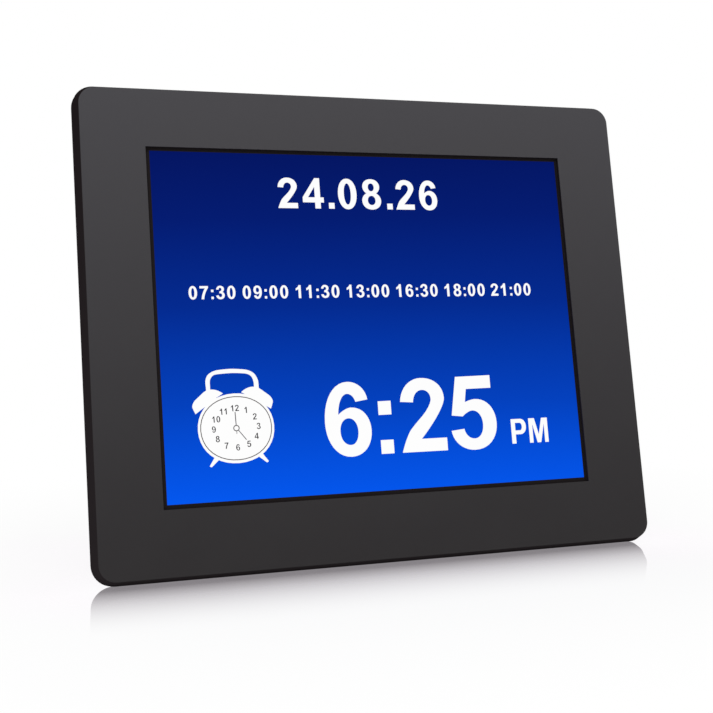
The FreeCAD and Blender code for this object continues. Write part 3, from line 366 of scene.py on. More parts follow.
def ribbon_finish():
    """Amber film with copper lines along it."""
    finish = Finish("ribbon_amber", (0.4, 0.2, 0.03, 1), 0.25)
    across, _, _ = finish.axes()
    lines = finish.maths("PINGPONG", across, 0.5) > 0.27
    finish.set(**{"Base Color": finish.mix(lines, (0.42, 0.19, 0.03, 1), (0.3, 0.1, 0.02, 1))})
    return finish.bump(lines, 0.03)


def foam_finish():
    """Black open-cell foam."""
    finish = Finish("foam_open", grey(0.012), 0.95, **{"Specular IOR Level": 0.1})
    pores = finish.cells(2.2)
    finish.set(**{"Base Color": finish.mix(pores, grey(0.006), grey(0.025))})
    return finish.bump(pores, 0.15)


def film_finish():
    """A clear polished film with its fine prism lines."""
    finish = Finish("film_clear", (0.75, 0.78, 0.82, 1), 0.12, **{"Coat Weight": 0.4})
    _, height, _ = finish.axes()
    lines = finish.maths("PINGPONG", height, 0.2) * 5
    finish.vary_roughness(0.14, 0.04)
    return finish.bump(lines, 0.02)


def led_finish():
    """Ivory packages with yellow phosphor."""
    finish = Finish("led_package", (0.8, 0.78, 0.68, 1), 0.35)
    spots = finish.cells(0.6)
    finish.set(**{"Base Color": finish.mix(spots, (0.85, 0.72, 0.3, 1), (0.82, 0.82, 0.8, 1))})
    return finish.bump(finish.noise(3.0), 0.02)


def paper_finish():
    """Pressed paper pulp with short fibres."""
    finish = Finish("cone_paper", grey(0.03), 0.9, **{"Specular IOR Level": 0.15})
    fibres = finish.noise(1.2, 6.0, 0.7, finish.stretched(1.0, 2.6, 1.0))
    finish.set(**{"Base Color": finish.mix(fibres, grey(0.014), grey(0.05))})
    return finish.bump(fibres, 0.06)


def magnet_finish():
    """Ground ferrite with a coarse grit."""
    finish = Finish("magnet_ground", grey(0.22), 0.5, Metallic=0.6)
    grit = finish.noise(1.5, 5.0, 0.7)
    finish.set(**{"Base Color": finish.mix(grit, grey(0.13), grey(0.3))})
    return finish.bump(grit, 0.04)


def make_finishes():
    """One finish for each of the record's material slots."""
    return {
        "bezel_plastic": bezel_finish(),
        "foam": foam_finish(),
        "sheet_steel": brushed("sheet_rolled", grey(0.55), 0.35),
        "screen_glass": screen_finish(),
        "white_plastic": moulded("frame_white", 0.7, 0.6, 2.0, 0.02),
        "clear_film": film_finish(),
        "led_white": led_finish(),
        "ribbon_film": ribbon_finish(),
        "circuit_board": board_finish(),
        "chip_black": moulded("chip_resin", 0.02, 0.65, 6.0, 0.015),
        "connector_ivory": moulded("connector_nylon", 0.62, 0.5, 3.0, 0.01, (1.0, 0.93, 0.76)),
        "capacitor_can": brushed("can_drawn", grey(0.7), 0.3, (3.0, 3.0, 0.05)),
        "socket_plastic": moulded("socket_nylon", 0.02, 0.45, 3.0, 0.012),
        "cell_steel": brushed("cell_bright", (0.68, 0.67, 0.63, 1), 0.28),
        "pin_brass": brushed("pin_plated", (0.72, 0.68, 0.55, 1), 0.25),
        "speaker_steel": moulded("basket_paint", 0.03, 0.4, 1.5, 0.02),
        "speaker_paper": paper_finish(),
        "magnet_iron": magnet_finish(),
        "lead_rubber": moulded("lead_insulation", 0.02, 0.5, 2.0, 0.01),
        "button_plastic": moulded("button_gloss", 0.013, 0.32, 4.0, 0.006, specular=0.5),
        "plunger_plastic": moulded("plunger_nylon", 0.08, 0.45, 4.0, 0.008),
        "switch_plastic": moulded("switch_nylon", 0.02, 0.5, 4.0, 0.01),
        "cover_plastic": moulded("cover_eroded", 0.022, 0.6, 1.7, 0.06),
        "screw_steel": brushed("screw_black_zinc", grey(0.1), 0.38, (1.0, 1.0, 1.0)),
        "pin_steel": brushed("pin_ground", grey(0.55), 0.3, (0.05, 4.0, 4.0)),
        "leg_plastic": moulded("leg_eroded", 0.024, 0.57, 1.7, 0.05),
        "foot_rubber": moulded("foot_rubber", 0.012, 0.85, 5.0, 0.02, specular=0.2),
    }


FINISHES = make_finishes()


def linked(name, data):
    """A new object with that data, in the scene."""
    item = bpy.data.objects.new(name, data)
    bpy.context.scene.collection.objects.link(item)
    return item


def dress(piece, finish):
    piece.data.materials.clear()
    piece.data.materials.append(finish.material)


def new_piece(name, mesh, body, finish, replaced=()):
    """A finished piece on its body, with its finish and the nodes that it stands for."""
    piece = linked(name, mesh)
    dress(piece, finish)
    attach(piece, body)
    if replaced:
        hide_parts(*replaced)
    return piece


def dress_nodes():
    """Every node gets the finish of its slot. The panel's front sheet has a black coat."""
    for name, node in NODES.items():
        dress(node, FINISHES[SLOT_OF[name]])
    coat = moulded("panel_black_coat", 1.0, 0.7, 3.0, 0.006, PANEL_BLACK[:3], 0.0)
    dress(NODES["panel_frame"], coat)
    dress(NODES["dust_gasket"], coat)


def smooth_copy(node, name, body):
    """A node's shape with its triangles joined and its rounds shaded smooth."""
    shape = bmesh.new()
    shape.from_mesh(NODES[node].data)
    bmesh.ops.remove_doubles(shape, verts=shape.verts, dist=JOINED_IN_NODE)
    points = [vertex.co.copy() for vertex in shape.verts]
    faces = [[vertex.index for vertex in face.verts] for face in shape.faces]
    shape.free()
    mesh = bpy.data.meshes.new(name)
    mesh.from_pydata(points, [], faces)
    mesh.shade_smooth()
    mesh.set_sharp_from_angle(angle=HOUSING_SHARP)
    piece = new_piece(name, mesh, body, FINISHES[SLOT_OF[node]], [node])
    weights = piece.modifiers.new("even_shading", "WEIGHTED_NORMAL")
    weights.keep_sharp = True
    weights.weight = 100


def make_housing():
    """The outside pieces and the parts that show in their openings, shaded smooth."""
    for node, name, body in (
        ("front_bezel", "bezel_shell", "clock_body"), ("rear_cover", "cover_shell", "clock_body"),
        ("stand_leg", "leg_plate", "stand"), ("foot_pad", "foot_tip", "stand"),
        ("power_socket", "inlet_housing", "clock_body"), ("hinge_pin", "hinge_rod", "clock_body"),
    ):
        smooth_copy(node, name, body)
    for button in BUTTONS:
        smooth_copy(f"button_{button}", f"cap_{button}", f"{button}_button")


# The case screws and the light-emitting diodes, in millimetres.
SCREW_HEAD, SCREW_HEAD_HEIGHT, SCREW_SEAT = 2.3, 1.1, 1.2
SCREW_SHANK, SCREW_LENGTH, SCREW_PITCH = 0.95, 5.0, 0.8
RECESS_REACH, RECESS_WIDTH, RECESS_DEPTH = 1.5, 0.52, 0.6
SCREW_SEED = 7
SCREW_PLACES = [(side * 100.0, height) for height in (6.0, 86.0, 165.0) for side in (-1, 1)]
LED_COUNT, LED_ROW = 24, 155.0
LED_SIZE, LED_ROUND = (3.2, 1.2, 1.8), 0.15
STRIP_SIZE, STRIP_ROUND = (161.0, 0.4, 2.4), 0.05
STRIP_PLACE, LED_PLACE = (-0.7, 20.7, 2.79), (-0.7, 21.5, 2.79)


def lathe_profile():
    """Radius and height of a pan head and its threaded shank, from the head's flat to the tip."""
    top = -SCREW_HEAD_HEIGHT
    rows = [(1.72, top), (1.98, top + 0.05), (2.17, top + 0.18), (2.27, top + 0.4),
            (SCREW_HEAD, top + 0.65), (SCREW_HEAD, -0.12), (2.22, 0.0), (SCREW_SHANK * 0.8, 0.0)]
    turns = int((SCREW_LENGTH - 0.8) / SCREW_PITCH)
    for turn in range(turns):
        start = 0.3 + turn * SCREW_PITCH
        rows += [(SCREW_SHANK * 0.8, start), (SCREW_SHANK, start + SCREW_PITCH * 0.4),
                 (SCREW_SHANK, start + SCREW_PITCH * 0.5)]
    return rows + [(SCREW_SHANK * 0.7, SCREW_LENGTH - 0.3), (0.2, SCREW_LENGTH)]


def cross_outline(reach, half, height):
    """The twelve corners of a cross recess."""
    corner = [(reach, -half), (reach, half), (half, half)]
    points = []
    for quarter in range(4):
        turn = Matrix.Rotation(quarter * math.pi / 2, 2)
        points += [(*(turn @ Vector(point)), height) for point in corner]
    return points


def ring_of(shape, points):
    return [shape.verts.new(point) for point in points]


def bridge(shape, first, second):
    count = len(first)
    for k in range(count):
        shape.faces.new((first[k], first[(k + 1) % count], second[(k + 1) % count], second[k]))


def screw_mesh(sides=28):
    """A pan-head screw with a cross recess, its seat at the origin and its head towards -Z."""
    shape = bmesh.new()
    rings = []
    for radius, height in lathe_profile():
        angles = [2 * math.pi * k / sides for k in range(sides)]
        rings.append(ring_of(shape, [(radius * math.cos(a), radius * math.sin(a), height)
                                     for a in angles]))
    for first, second in zip(rings, rings[1:]):
        bridge(shape, first, second)
    shape.faces.new(rings[-1])

    top = -SCREW_HEAD_HEIGHT
    mouth = ring_of(shape, cross_outline(RECESS_REACH, RECESS_WIDTH / 2, top))
    bottom = ring_of(shape, cross_outline(RECESS_REACH * 0.55, RECESS_WIDTH * 0.36,
                                          top + RECESS_DEPTH))
    bridge(shape, mouth, bottom)
    shape.faces.new(bottom)
    rim = [shape.edges.get((ring[k], ring[(k + 1) % len(ring)])) or
           shape.edges.new((ring[k], ring[(k + 1) % len(ring)]))
           for ring in (rings[0], mouth) for k in range(len(ring))]
    bmesh.ops.triangle_fill(shape, edges=rim, use_beauty=True)
    bmesh.ops.recalc_face_normals(shape, faces=shape.faces)
    mesh = bpy.data.meshes.new("screw")
    shape.to_mesh(mesh)
    shape.free()
    mesh.shade_smooth()
    mesh.set_sharp_from_angle(angle=SCREW_SHARP)
    return mesh


def block_mesh(name, size, round_by):
    """A small block with rounded edges, in millimetres."""
    shape = bmesh.new()
    bmesh.ops.create_cube(shape, size=1.0, matrix=Matrix.Diagonal((*size, 1.0)))
    bmesh.ops.bevel(shape, geom=shape.edges[:], offset=round_by, segments=2, affect="EDGES")
    mesh = bpy.data.meshes.new(name)
    shape.to_mesh(mesh)
    shape.free()
    return mesh


def repeat(name, base, element, seed, turn, finish):
    """Copies of an element on each point of the base mesh, as one plain mesh."""
    tree = bpy.data.node_groups.new(f"{name}_repeat", "GeometryNodeTree")
    face = tree.interface
    face.new_socket("Places", in_out="INPUT", socket_type="NodeSocketGeometry")
    keys = {label: face.new_socket(label, in_out="INPUT", socket_type=kind).identifier
            for label, kind in (("Element", "NodeSocketObject"), ("Most turn", "NodeSocketFloat"),
                                ("Turn seed", "NodeSocketInt"), ("Finish", "NodeSocketMaterial"))}
    face.new_socket("Pieces", in_out="OUTPUT", socket_type="NodeSocketGeometry")
    net = Network(tree)
    entry = net.add("NodeGroupInput")
    element_shape = net.add("GeometryNodeObjectInfo", None, {
        "Object": entry.pick("Element"),
    }).pick("Geometry")
    most = net.add("ShaderNodeCombineXYZ", None, {"Z": entry.pick("Most turn")})
    turns = net.add("FunctionNodeRandomValue", {"data_type": "FLOAT_VECTOR"}, {
        "Min": (0, 0, 0), "Max": most, "Seed": entry.pick("Turn seed"),
    })
    copies = net.add("GeometryNodeInstanceOnPoints", None, {
        "Points": entry.pick("Places"), "Instance": element_shape, "Rotation": turns,
    })
    whole = net.add("GeometryNodeRealizeInstances", None, {"Geometry": copies})
    whole = net.add("GeometryNodeSetMaterial", None, {
        "Geometry": whole, "Material": entry.pick("Finish"),
    })
    net.add("NodeGroupOutput", None, {"Pieces": whole})

    holder = linked(name, base)
    piece = linked(f"{name}_element", element)
    modifier = holder.modifiers.new("repeat", "NODES")
    modifier.node_group = tree
    modifier[keys["Element"]] = piece
    modifier[keys["Most turn"]] = turn
    modifier[keys["Turn seed"]] = seed
    modifier[keys["Finish"]] = finish.material
    bpy.context.view_layer.update()
    evaluated = holder.evaluated_get(bpy.context.evaluated_depsgraph_get())
    mesh = bpy.data.meshes.new_from_object(evaluated)
    holder.modifiers.clear()
    bpy.data.objects.remove(holder)
    bpy.data.objects.remove(piece)
    mesh.name = name
    return mesh


def point_mesh(name, points):
    mesh = bpy.data.meshes.new(name)
    mesh.from_pydata(points, [], [])
    return mesh


def make_screws():
    """The six case screws, each turned by chance."""
    places = point_mesh("screw_places", [(x, y, SCREW_SEAT) for x, y in SCREW_PLACES])
    finish = FINISHES["screw_steel"]
    mesh = repeat("cross_screws", places, screw_mesh(), SCREW_SEED, math.pi / 2, finish)
    mesh.transform(SLAB)
    new_piece("cross_screws", mesh, "clock_body", finish, ["case_screws"])


def make_leds():
    """The row of diodes and the flat strip that carries them."""
    pitch = LED_ROW / (LED_COUNT - 1)
    places = point_mesh("led_places", [(pitch * k - LED_ROW / 2, 0, 0) for k in range(LED_COUNT)])
    finish = FINISHES["led_white"]
    row = repeat("led_row", places, block_mesh("led", LED_SIZE, LED_ROUND), 1, 0.0, finish)
    row.transform(Matrix.Translation(LED_PLACE))
    strip = block_mesh("led_tape", STRIP_SIZE, STRIP_ROUND)
    strip.transform(Matrix.Translation(STRIP_PLACE))
    shape = bmesh.new()
    shape.from_mesh(row)
    shape.from_mesh(strip)
    shape.to_mesh(row)
    shape.free()
    row.transform(SLAB)
    new_piece("led_row", row, "clock_body", finish, ["led_strip"])


# Outlines of the picture's characters, in hundredths of a capital's height. A point is a corner
# (x, y), a smooth point (x, y, heading), or a corner between curves (x, y, heading in, heading
# out). Headings are in degrees, and None stands for a straight side.
GLYPH_HEIGHT = 100.0
SIX = [
    [(65.5, 75.5, None, 98), (37.5, 101, 180), (3, 47, 270), (38, -1.5, 0), (68.5, 33, 90),
     (41, 65.5, 180), (22.5, 56.5, 222, 87), (36.5, 84.5, 0), (48, 73, 282, None)],
    [(36.5, 51, 180), (24, 33.5, 270), (38, 14.5, 0), (49.5, 32.5, 90)],
]
SHAPES = {
    "0": [
        [(4, 50, 90), (36.5, 101.5, 0), (69, 50, 270), (36.5, -1.5, 180)],
        [(24.5, 50, 270), (36.5, 14.5, 0), (48.5, 50, 90), (36.5, 85.5, 180)],
    ],
    "1": [
        [(51, 0), (31, 0), (31, 71, None, 225), (10, 59.5, 200, None), (10, 76.5, None, 20),
         (34.5, 101, 72, None), (51, 101)],
    ],
    "2": [
        [(2, 0, None, 72), (15, 28.5, 56), (33, 47, 43), (49, 71.5, 90), (36.5, 84.5, 180),
         (22.5, 68, 266, None), (3.5, 69.5, None, 85), (35.5, 101, 0), (69, 72, 270),
         (31.5, 17.5, 226, None), (69, 17.5), (69, 0)],
    ],
    "3": [
        [(5, 73, None, 82), (35.5, 101.5, 0), (66, 75.5, 270), (53, 54, 205, 340),
         (70, 29, 270), (36, -1.5, 180), (3.5, 26.5, 98, None), (23, 29, None, 278),
         (36, 14.5, 0), (50, 29, 90), (36, 44, 180), (28.5, 43.5, 190, None),
         (30.5, 59.5, None, 0), (46.5, 72.5, 90), (35, 86, 180), (23.5, 71.5, 264, None)],
    ],
    "4": [
        [(43.5, 0), (43.5, 20), (2, 20), (2, 37), (45.5, 101), (62.5, 101), (62.5, 37), (74, 37),
         (74, 20), (62.5, 20), (62.5, 0)],
        [(43.5, 37), (20.5, 37), (43.5, 72)],
    ],
    "5": [
        [(14.5, 100), (67.5, 100), (67.5, 82.5), (29.5, 82.5), (26.5, 64.5, None, 22),
         (42, 68, 0), (72.5, 34, 270), (37, -1.5, 180), (3, 26, 97, None), (22.5, 28, None, 278),
         (37.5, 14, 0), (51.5, 33, 90), (36.5, 52.5, 180), (21.5, 45, 222, None), (5, 47)],
    ],
    "6": SIX,
    "7": [
        [(4, 100), (69.5, 100), (69.5, 86.5, None, 233), (36.5, 0, 267, None),
         (16, 0, None, 84), (46.5, 82.5, 50, None), (4, 82.5)],
    ],
    "8": [
        [(36.5, 101.5, 0), (66.5, 75.5, 270), (53.5, 53.5, 208, 335), (70, 28.5, 270),
         (36.5, -1.5, 180), (3, 28.5, 90), (19.5, 53.5, 25, 152), (6.5, 75.5, 90)],
        [(36.5, 87, 180), (26, 74, 270), (36.5, 60.5, 0), (47, 74, 90)],
        [(36.5, 45, 180), (23, 29, 270), (36.5, 14, 0), (50, 29, 90)],
    ],
    ":": [
        [(6.8, 0), (6.8, 18.8), (25.4, 18.8), (25.4, 0)],
        [(6.4, 53.2), (6.4, 72), (25.2, 72), (25.2, 53.2)],
    ],
    ".": [[(6, 0), (6, 19.5), (25.5, 19.5), (25.5, 0)]],
    "P": [
        [(0, 0), (0, 100), (45, 100, None, 0), (73.5, 69, 270), (44, 37, 180, None), (20, 37),
         (20, 0)],
        [(20, 53), (42, 53, None, 0), (53, 68.5, 90), (42, 84, 180, None), (20, 84)],
    ],
    "M": [
        [(0, 0), (0, 100), (29, 100), (47, 33), (65, 100), (94, 100), (94, 0), (76, 0), (76, 76),
         (56, 0), (38, 0), (18, 76), (18, 0)],
    ],
}
ADVANCE = {"digit": 73.7, ":": 35.5, ".": 31.5, " ": 31.0, "P": 87.5, "M": 100.0}


def turned_about(contours, x, y):
    """The outlines turned upside down about a point."""
    turned = []
    for contour in contours:
        turned.append([(2 * x - point[0], 2 * y - point[1],
                        *((None if heading is None else heading + 180) for heading in point[2:]))
                       for point in contour])
    return turned


SHAPES["9"] = turned_about(SIX, 36.5, 49.75)

# A curve's handle, as a share of the way to where the headings of its two ends cross.
ROUNDNESS = 0.585

# The straight pieces that stand for each curve between two points.
CURVE_STEPS = 10


def handles(start, leaving, end, arriving):
    """The handles of a curve that leaves and arrives on two headings, or a straight side's."""
    if leaving is None or arriving is None:
        return start.lerp(end, 1 / 3), end.lerp(start, 1 / 3)
    out = Vector((math.cos(math.radians(leaving)), math.sin(math.radians(leaving))))
    into = Vector((math.cos(math.radians(arriving)), math.sin(math.radians(arriving))))
    across = out.x * into.y - out.y * into.x
    way = end - start
    if abs(across) < 1e-6:
        return start.lerp(end, 1 / 3), end.lerp(start, 1 / 3)
    first = (way.x * into.y - way.y * into.x) / across
    second = (out.x * way.y - out.y * way.x) / across
    return start + out * first * ROUNDNESS, end - into * second * ROUNDNESS


def headings(point):
    """The headings into and out of a point."""
    if len(point) == 2:
        return None, None
    if len(point) == 3:
        return point[2], point[2]
    return point[2], point[3]


def add_outline(curve, contour, scale, x, y):
    """One closed outline, scaled and moved to a place on the picture."""
    spline = curve.splines.new("BEZIER")
    spline.bezier_points.add(len(contour) - 1)
    spline.use_cyclic_u = True
    spline.resolution_u = CURVE_STEPS
    places = [Vector((x + point[0] * scale, y + point[1] * scale)) for point in contour]
    for k, point in enumerate(contour):
        following = (k + 1) % len(contour)
        leaving = headings(point)[1]
        arriving = headings(contour[following])[0]
        right, left = handles(places[k], leaving, places[following], arriving)
        knot = spline.bezier_points[k]
        knot.handle_left_type = knot.handle_right_type = "FREE"
        knot.co = (*places[k], 0)
        knot.handle_right = (*right, 0)
        spline.bezier_points[following].handle_left = (*left, 0)


def plate_mesh(name, outlines, level, thick, place=SLAB, offset=0.0):
    """Flat plates from (contour, scale, x, y) outlines, with their backs at a slab level."""
    curve = bpy.data.curves.new(name, "CURVE")
    curve.dimensions = "2D"
    curve.fill_mode = "BOTH"
    curve.extrude = thick / 2
    curve.offset = offset
    for contour, scale, x, y in outlines:
        add_outline(curve, contour, scale, x, y)
    holder = linked(name, curve)
    bpy.context.view_layer.update()
    evaluated = holder.evaluated_get(bpy.context.evaluated_depsgraph_get())
    mesh = bpy.data.meshes.new_from_object(evaluated)
    bpy.data.objects.remove(holder)
    bpy.data.curves.remove(curve)
    mesh.name = name
    merged(mesh)
    mesh.transform(place @ Matrix.Translation((0, 0, level + thick / 2)))
    return mesh


def merged(mesh):
    """Join the doubled points of a mesh, and turn its faces outwards."""
    shape = bmesh.new()
    shape.from_mesh(mesh)
    bmesh.ops.remove_doubles(shape, verts=shape.verts, dist=JOINED_IN_PLATE)
    bmesh.ops.recalc_face_normals(shape, faces=shape.faces)
    shape.to_mesh(mesh)
    shape.free()


def advance(character):
    return ADVANCE.get(character, ADVANCE["digit"])


def line_of(text, height, x, y, spread=1.0):
    """The outlines of a line of characters whose left end and foot are at x and y."""
    scale = height / GLYPH_HEIGHT
    outlines = []
    for character in text:
        for contour in SHAPES.get(character, ()):
            outlines.append((contour, scale, x, y))
        x += advance(character) * scale * spread
    return outlines


def width_of(text, height):
    return sum(advance(character) for character in text) * height / GLYPH_HEIGHT


def spread_line(text, height, left, right, y):
    """A line of characters spread out to fill the way from left to right."""
    spread = (right - left) / width_of(text, height)
    return line_of(text, height, left, y, spread)


# The picture's plates lie on the glass. Their places and sizes are in slab millimetres.
PICTURE_LEVEL = LCD_FRONT
PICTURE_THICK = 0.03
TIME_HEIGHT, TIME_LEFT, TIME_FOOT = 27.0, -23.4, 37.25
HALF_HEIGHT, HALF_LEFT, HALF_FOOT = 9.2, 51.45, 38.3
DATE_HEIGHT, DATE_LEFT, DATE_RIGHT, DATE_FOOT = 11.3, -35.0, 30.5, 127.9
ALARM_HEIGHT, ALARM_LEFT, ALARM_RIGHT, ALARM_FOOT = 4.7, -70.0, 65.8, 94.7
TIME_TALL, TIME_TAPER, HALF_WIDE = 0.969, 0.00057, 0.925


def make_lettering():
    """The time, the half of the day, the date and the reminder times, as lit plates."""
    white = lit_finish("picture_white", WHITE)
    lines = {
        "picture_time": line_of("6:25", TIME_HEIGHT, TIME_LEFT, TIME_FOOT),
        "picture_half": line_of("PM", HALF_HEIGHT, HALF_LEFT, HALF_FOOT),
        "picture_date": spread_line("24.08.26", DATE_HEIGHT, DATE_LEFT, DATE_RIGHT, DATE_FOOT),
        "picture_alarms": spread_line("07:30 09:00 11:30 13:00 16:30 18:00 21:00",
                                      ALARM_HEIGHT, ALARM_LEFT, ALARM_RIGHT, ALARM_FOOT),
    }
    fits = {
        "picture_time": {"tall": TIME_TALL, "taper": TIME_TAPER},
        "picture_half": {"wide": HALF_WIDE},
    }
    for name, outlines in lines.items():
        left, foot = outlines[0][2:]
        mesh = plate_mesh(name, outlines, PICTURE_LEVEL, PICTURE_THICK, Matrix())
        fit_line(mesh, left, foot, **fits.get(name, {}))
        mesh.transform(SLAB)
        new_piece(name, mesh, "clock_body", white)
    return white


def fit_line(mesh, left, foot, wide=1.0, tall=1.0, taper=0.0):
    """Make a line of characters narrower or lower, and taller towards its right end."""
    for vertex in mesh.vertices:
        reach = vertex.co.x - left
        vertex.co.y = foot + (vertex.co.y - foot) * (tall + taper * reach)
        vertex.co.x = left + reach * wide


def ellipse(x, y, across, up):
    """A closed oval as four smooth points, clockwise."""
    return [(x - across, y, 90), (x, y + up, 0), (x + across, y, 270), (x, y - up, 180)]


def bar(x0, y0, x1, y1, wide):
    """A straight bar between two points."""
    way = Vector((x1 - x0, y1 - y0)).normalized() * wide / 2
    side = Vector((-way.y, way.x))
    return [(x0 - side.x, y0 - side.y), (x0 + side.x, y0 + side.y),
            (x1 + side.x, y1 + side.y), (x1 - side.x, y1 - side.y)]


# The small picture of an alarm clock: its dial's middle, and sizes on the screen in millimetres.
DIAL_X, DIAL_Y = -55.4, 49.05
DIAL_ACROSS, DIAL_UP = 13.8, 12.15
BELLS_X = -0.45
NUMERAL_HEIGHT, NUMERAL_ACROSS, NUMERAL_UP, NUMERAL_LIFT = 2.2, 8.1, 6.85, 0.15
NUMERAL_THINNING = -0.035
ICON_TURN = 1.8
ICON = (SLAB @ Matrix.Translation((DIAL_X, DIAL_Y, 0))
        @ Matrix.Rotation(math.radians(ICON_TURN), 4, "Z"))


def mirrored(contour):
    """An outline turned over left for right, still clockwise."""
    flipped = []
    for point in reversed(contour):
        ways = headings(point)
        turned = [None if heading is None else -heading for heading in reversed(ways)]
        flipped.append((-point[0], point[1], *(turned if len(point) > 2 else ())))
    return flipped


def make_icon(white):
    """The small alarm clock, in layers from its bells and feet to its hands and numerals."""
    bell = [(3.3, 12.4, None, 42), (6.4, 13.95, 12), (9.3, 13.75, 338), (11.4, 12.3, 318),
            (13.4, 10.7, 318), (14.6, 8.5, 275), (13.65, 5.9, 245, None), (9.9, 8.3, None, 146),
            (6.0, 10.9, 150, None)]
    foot = [(6.9, -10.2), (9.95, -12.75, None, 10), (10.6, -12.25, 110, None), (8.6, -9.4)]
    handle = [(9.45, 12.6), (9.45, 15.6, None, 90), (8.4, 18.4, 125), (4.6, 20.35, 172),
              (-0.5, 20.85, 180), (-5.6, 20.6, 190), (-8.9, 18.9, 235), (-9.7, 16.4, 270, None),
              (-9.6, 12.6), (-8.2, 12.6), (-8.1, 16.6, None, 86), (-6.3, 19.1, 20),
              (-0.5, 19.35, 0), (4.8, 18.9, 352), (7.2, 17.5, 300), (7.75, 15.2, 272, None),
              (7.7, 12.6)]
    dial = ellipse(0, 0, DIAL_ACROSS, DIAL_UP)
    for name, shape, level, x in (
        ("icon_bells", [bell, mirrored(bell)], 0, BELLS_X), ("icon_handle", [handle], 1, 0.0),
        ("icon_feet", [foot, mirrored(foot)], 0, 0.0), ("icon_dial", [dial], 2, 0.0),
    ):
        mesh = plate_mesh(name, [(contour, 1.0, x, 0.0) for contour in shape],
                          PICTURE_LEVEL + level * PICTURE_THICK, PICTURE_THICK, ICON)
        new_piece(name, mesh, "clock_body", white)

    ring = [ellipse(0, 0, 12.95, 11.15), ellipse(0, 0, 12.65, 10.85)]
    hub = [ellipse(0, 0, 1.15, 1.1), ellipse(0, 0, 0.8, 0.75)]
    hands = [bar(0, 1.0, 0, 5.6, 0.34), bar(0.7, -0.8, 3.3, -4.3, 0.3), bar(0, -1.0, 0, -2.0, 0.22)]
    level = PICTURE_LEVEL + 3 * PICTURE_THICK
    for name, shape, tone in (("icon_ring", ring, (84, 78, 76)), ("icon_hub", hub, (112, 110, 110)),
                              ("icon_hands", hands, (104, 102, 106))):
        finish = lit_finish(f"{name}_grey", colour_of_screen(*tone))
        mesh = plate_mesh(name, [(contour, 1.0, 0.0, 0.0) for contour in shape], level,
                          PICTURE_THICK, ICON)
        new_piece(name, mesh, "clock_body", finish)

    numerals = []
    for hour in range(1, 13):
        angle = math.radians(30 * hour)
        text = str(hour)
        x = NUMERAL_ACROSS * math.sin(angle) - width_of(text, NUMERAL_HEIGHT) / 2
        y = NUMERAL_LIFT + NUMERAL_UP * math.cos(angle) - NUMERAL_HEIGHT / 2
        numerals += line_of(text, NUMERAL_HEIGHT, x, y)
    mesh = plate_mesh("icon_numerals", numerals, level, PICTURE_THICK, ICON, NUMERAL_THINNING)
    finish = lit_finish("icon_numerals_grey", colour_of_screen(34, 32, 36))
    new_piece("icon_numerals", mesh, "clock_body", finish)


# The signs beside the buttons are seen from behind, so they are drawn as read there and
# turned round the upright.
SIGN_UP, SIGN_HALF, SIGN_THICK = 141.4, 1.7, 0.04
SIGN_LINE, POWER_FOOT, RING_GAP = 0.5, 0.35, 42
BACK_VIEW = SLAB @ Matrix.Rotation(math.pi, 4, "Y")


def make_signs():
    """Printed signs under the buttons: a mark for power, three bars, and four arrows."""
    half = SIGN_HALF
    ink = moulded("sign_ink", 0.55, 0.6, 5.0, 0.004)
    step = half * 0.75
    arrow = [(-half, 0), (half * 0.8, half), (half * 0.8, -half)]
    turned = {"left": 0, "right": 180, "up": -90, "down": 90}
    outlines = []
    for k, button in enumerate(BUTTONS):
        x = BUTTON_PITCH * (k - (len(BUTTONS) - 1) / 2)
        if button == "menu":
            shapes = [bar(-half, row * step, half, row * step, SIGN_LINE) for row in (-1, 0, 1)]
        elif button == "power":
            shapes = [bar(0, POWER_FOOT, 0, half * 1.15, SIGN_LINE),
                      open_ring(half, SIGN_LINE, RING_GAP)]
        else:
            angle = math.radians(turned[button])
            shapes = [[(x0 * math.cos(angle) - y0 * math.sin(angle),
                        x0 * math.sin(angle) + y0 * math.cos(angle)) for x0, y0 in arrow]]
        outlines += [(shape, 1.0, x, SIGN_UP) for shape in shapes]
    mesh = plate_mesh("button_signs", outlines, -TUB_BACK, SIGN_THICK, BACK_VIEW)
    new_piece("button_signs", mesh, "clock_body", ink)


def open_ring(radius, wide, gap):
    """A ring that is open at the top by the gap angle on each side, as one outline."""
    angles = (gap, 90, 180, 270, 360 - gap)
    outline = []
    for reach, way, order in ((radius, 0, angles), (radius - wide, 180, angles[::-1])):
        side = [(reach * math.sin(math.radians(angle)), reach * math.cos(math.radians(angle)),
                 way - angle) for angle in order]
        (x0, y0, first), (x1, y1, last) = side[0], side[-1]
        outline += [(x0, y0, None, first), *side[1:-1], (x1, y1, last, None)]
    return outline


# The camera: its place in metres, its headings in degrees, and its lens as the focal length in
# pixels of the 713-pixel picture.
PICTURE_PIXELS = 713
CAMERA_PLACE = (-0.18736, -0.48164, 0.11102)
CAMERA_YAW, CAMERA_DIP = 21.182, 2.1785
SENSOR = 36.0
FOCAL_PIXELS, SHIFT_PIXELS = 1364.4, -50.0


def make_camera():
    data = bpy.data.cameras.new("camera")
    camera = linked("camera", data)
    data.sensor_width = SENSOR
    data.lens = FOCAL_PIXELS / PICTURE_PIXELS * SENSOR
    data.shift_y = SHIFT_PIXELS / PICTURE_PIXELS
    data.clip_start = 0.01
    data.clip_end = 50.0
    camera.location = CAMERA_PLACE
    camera.rotation_euler = (math.radians(90 - CAMERA_DIP), 0, math.radians(-CAMERA_YAW))
    bpy.context.scene.camera = camera


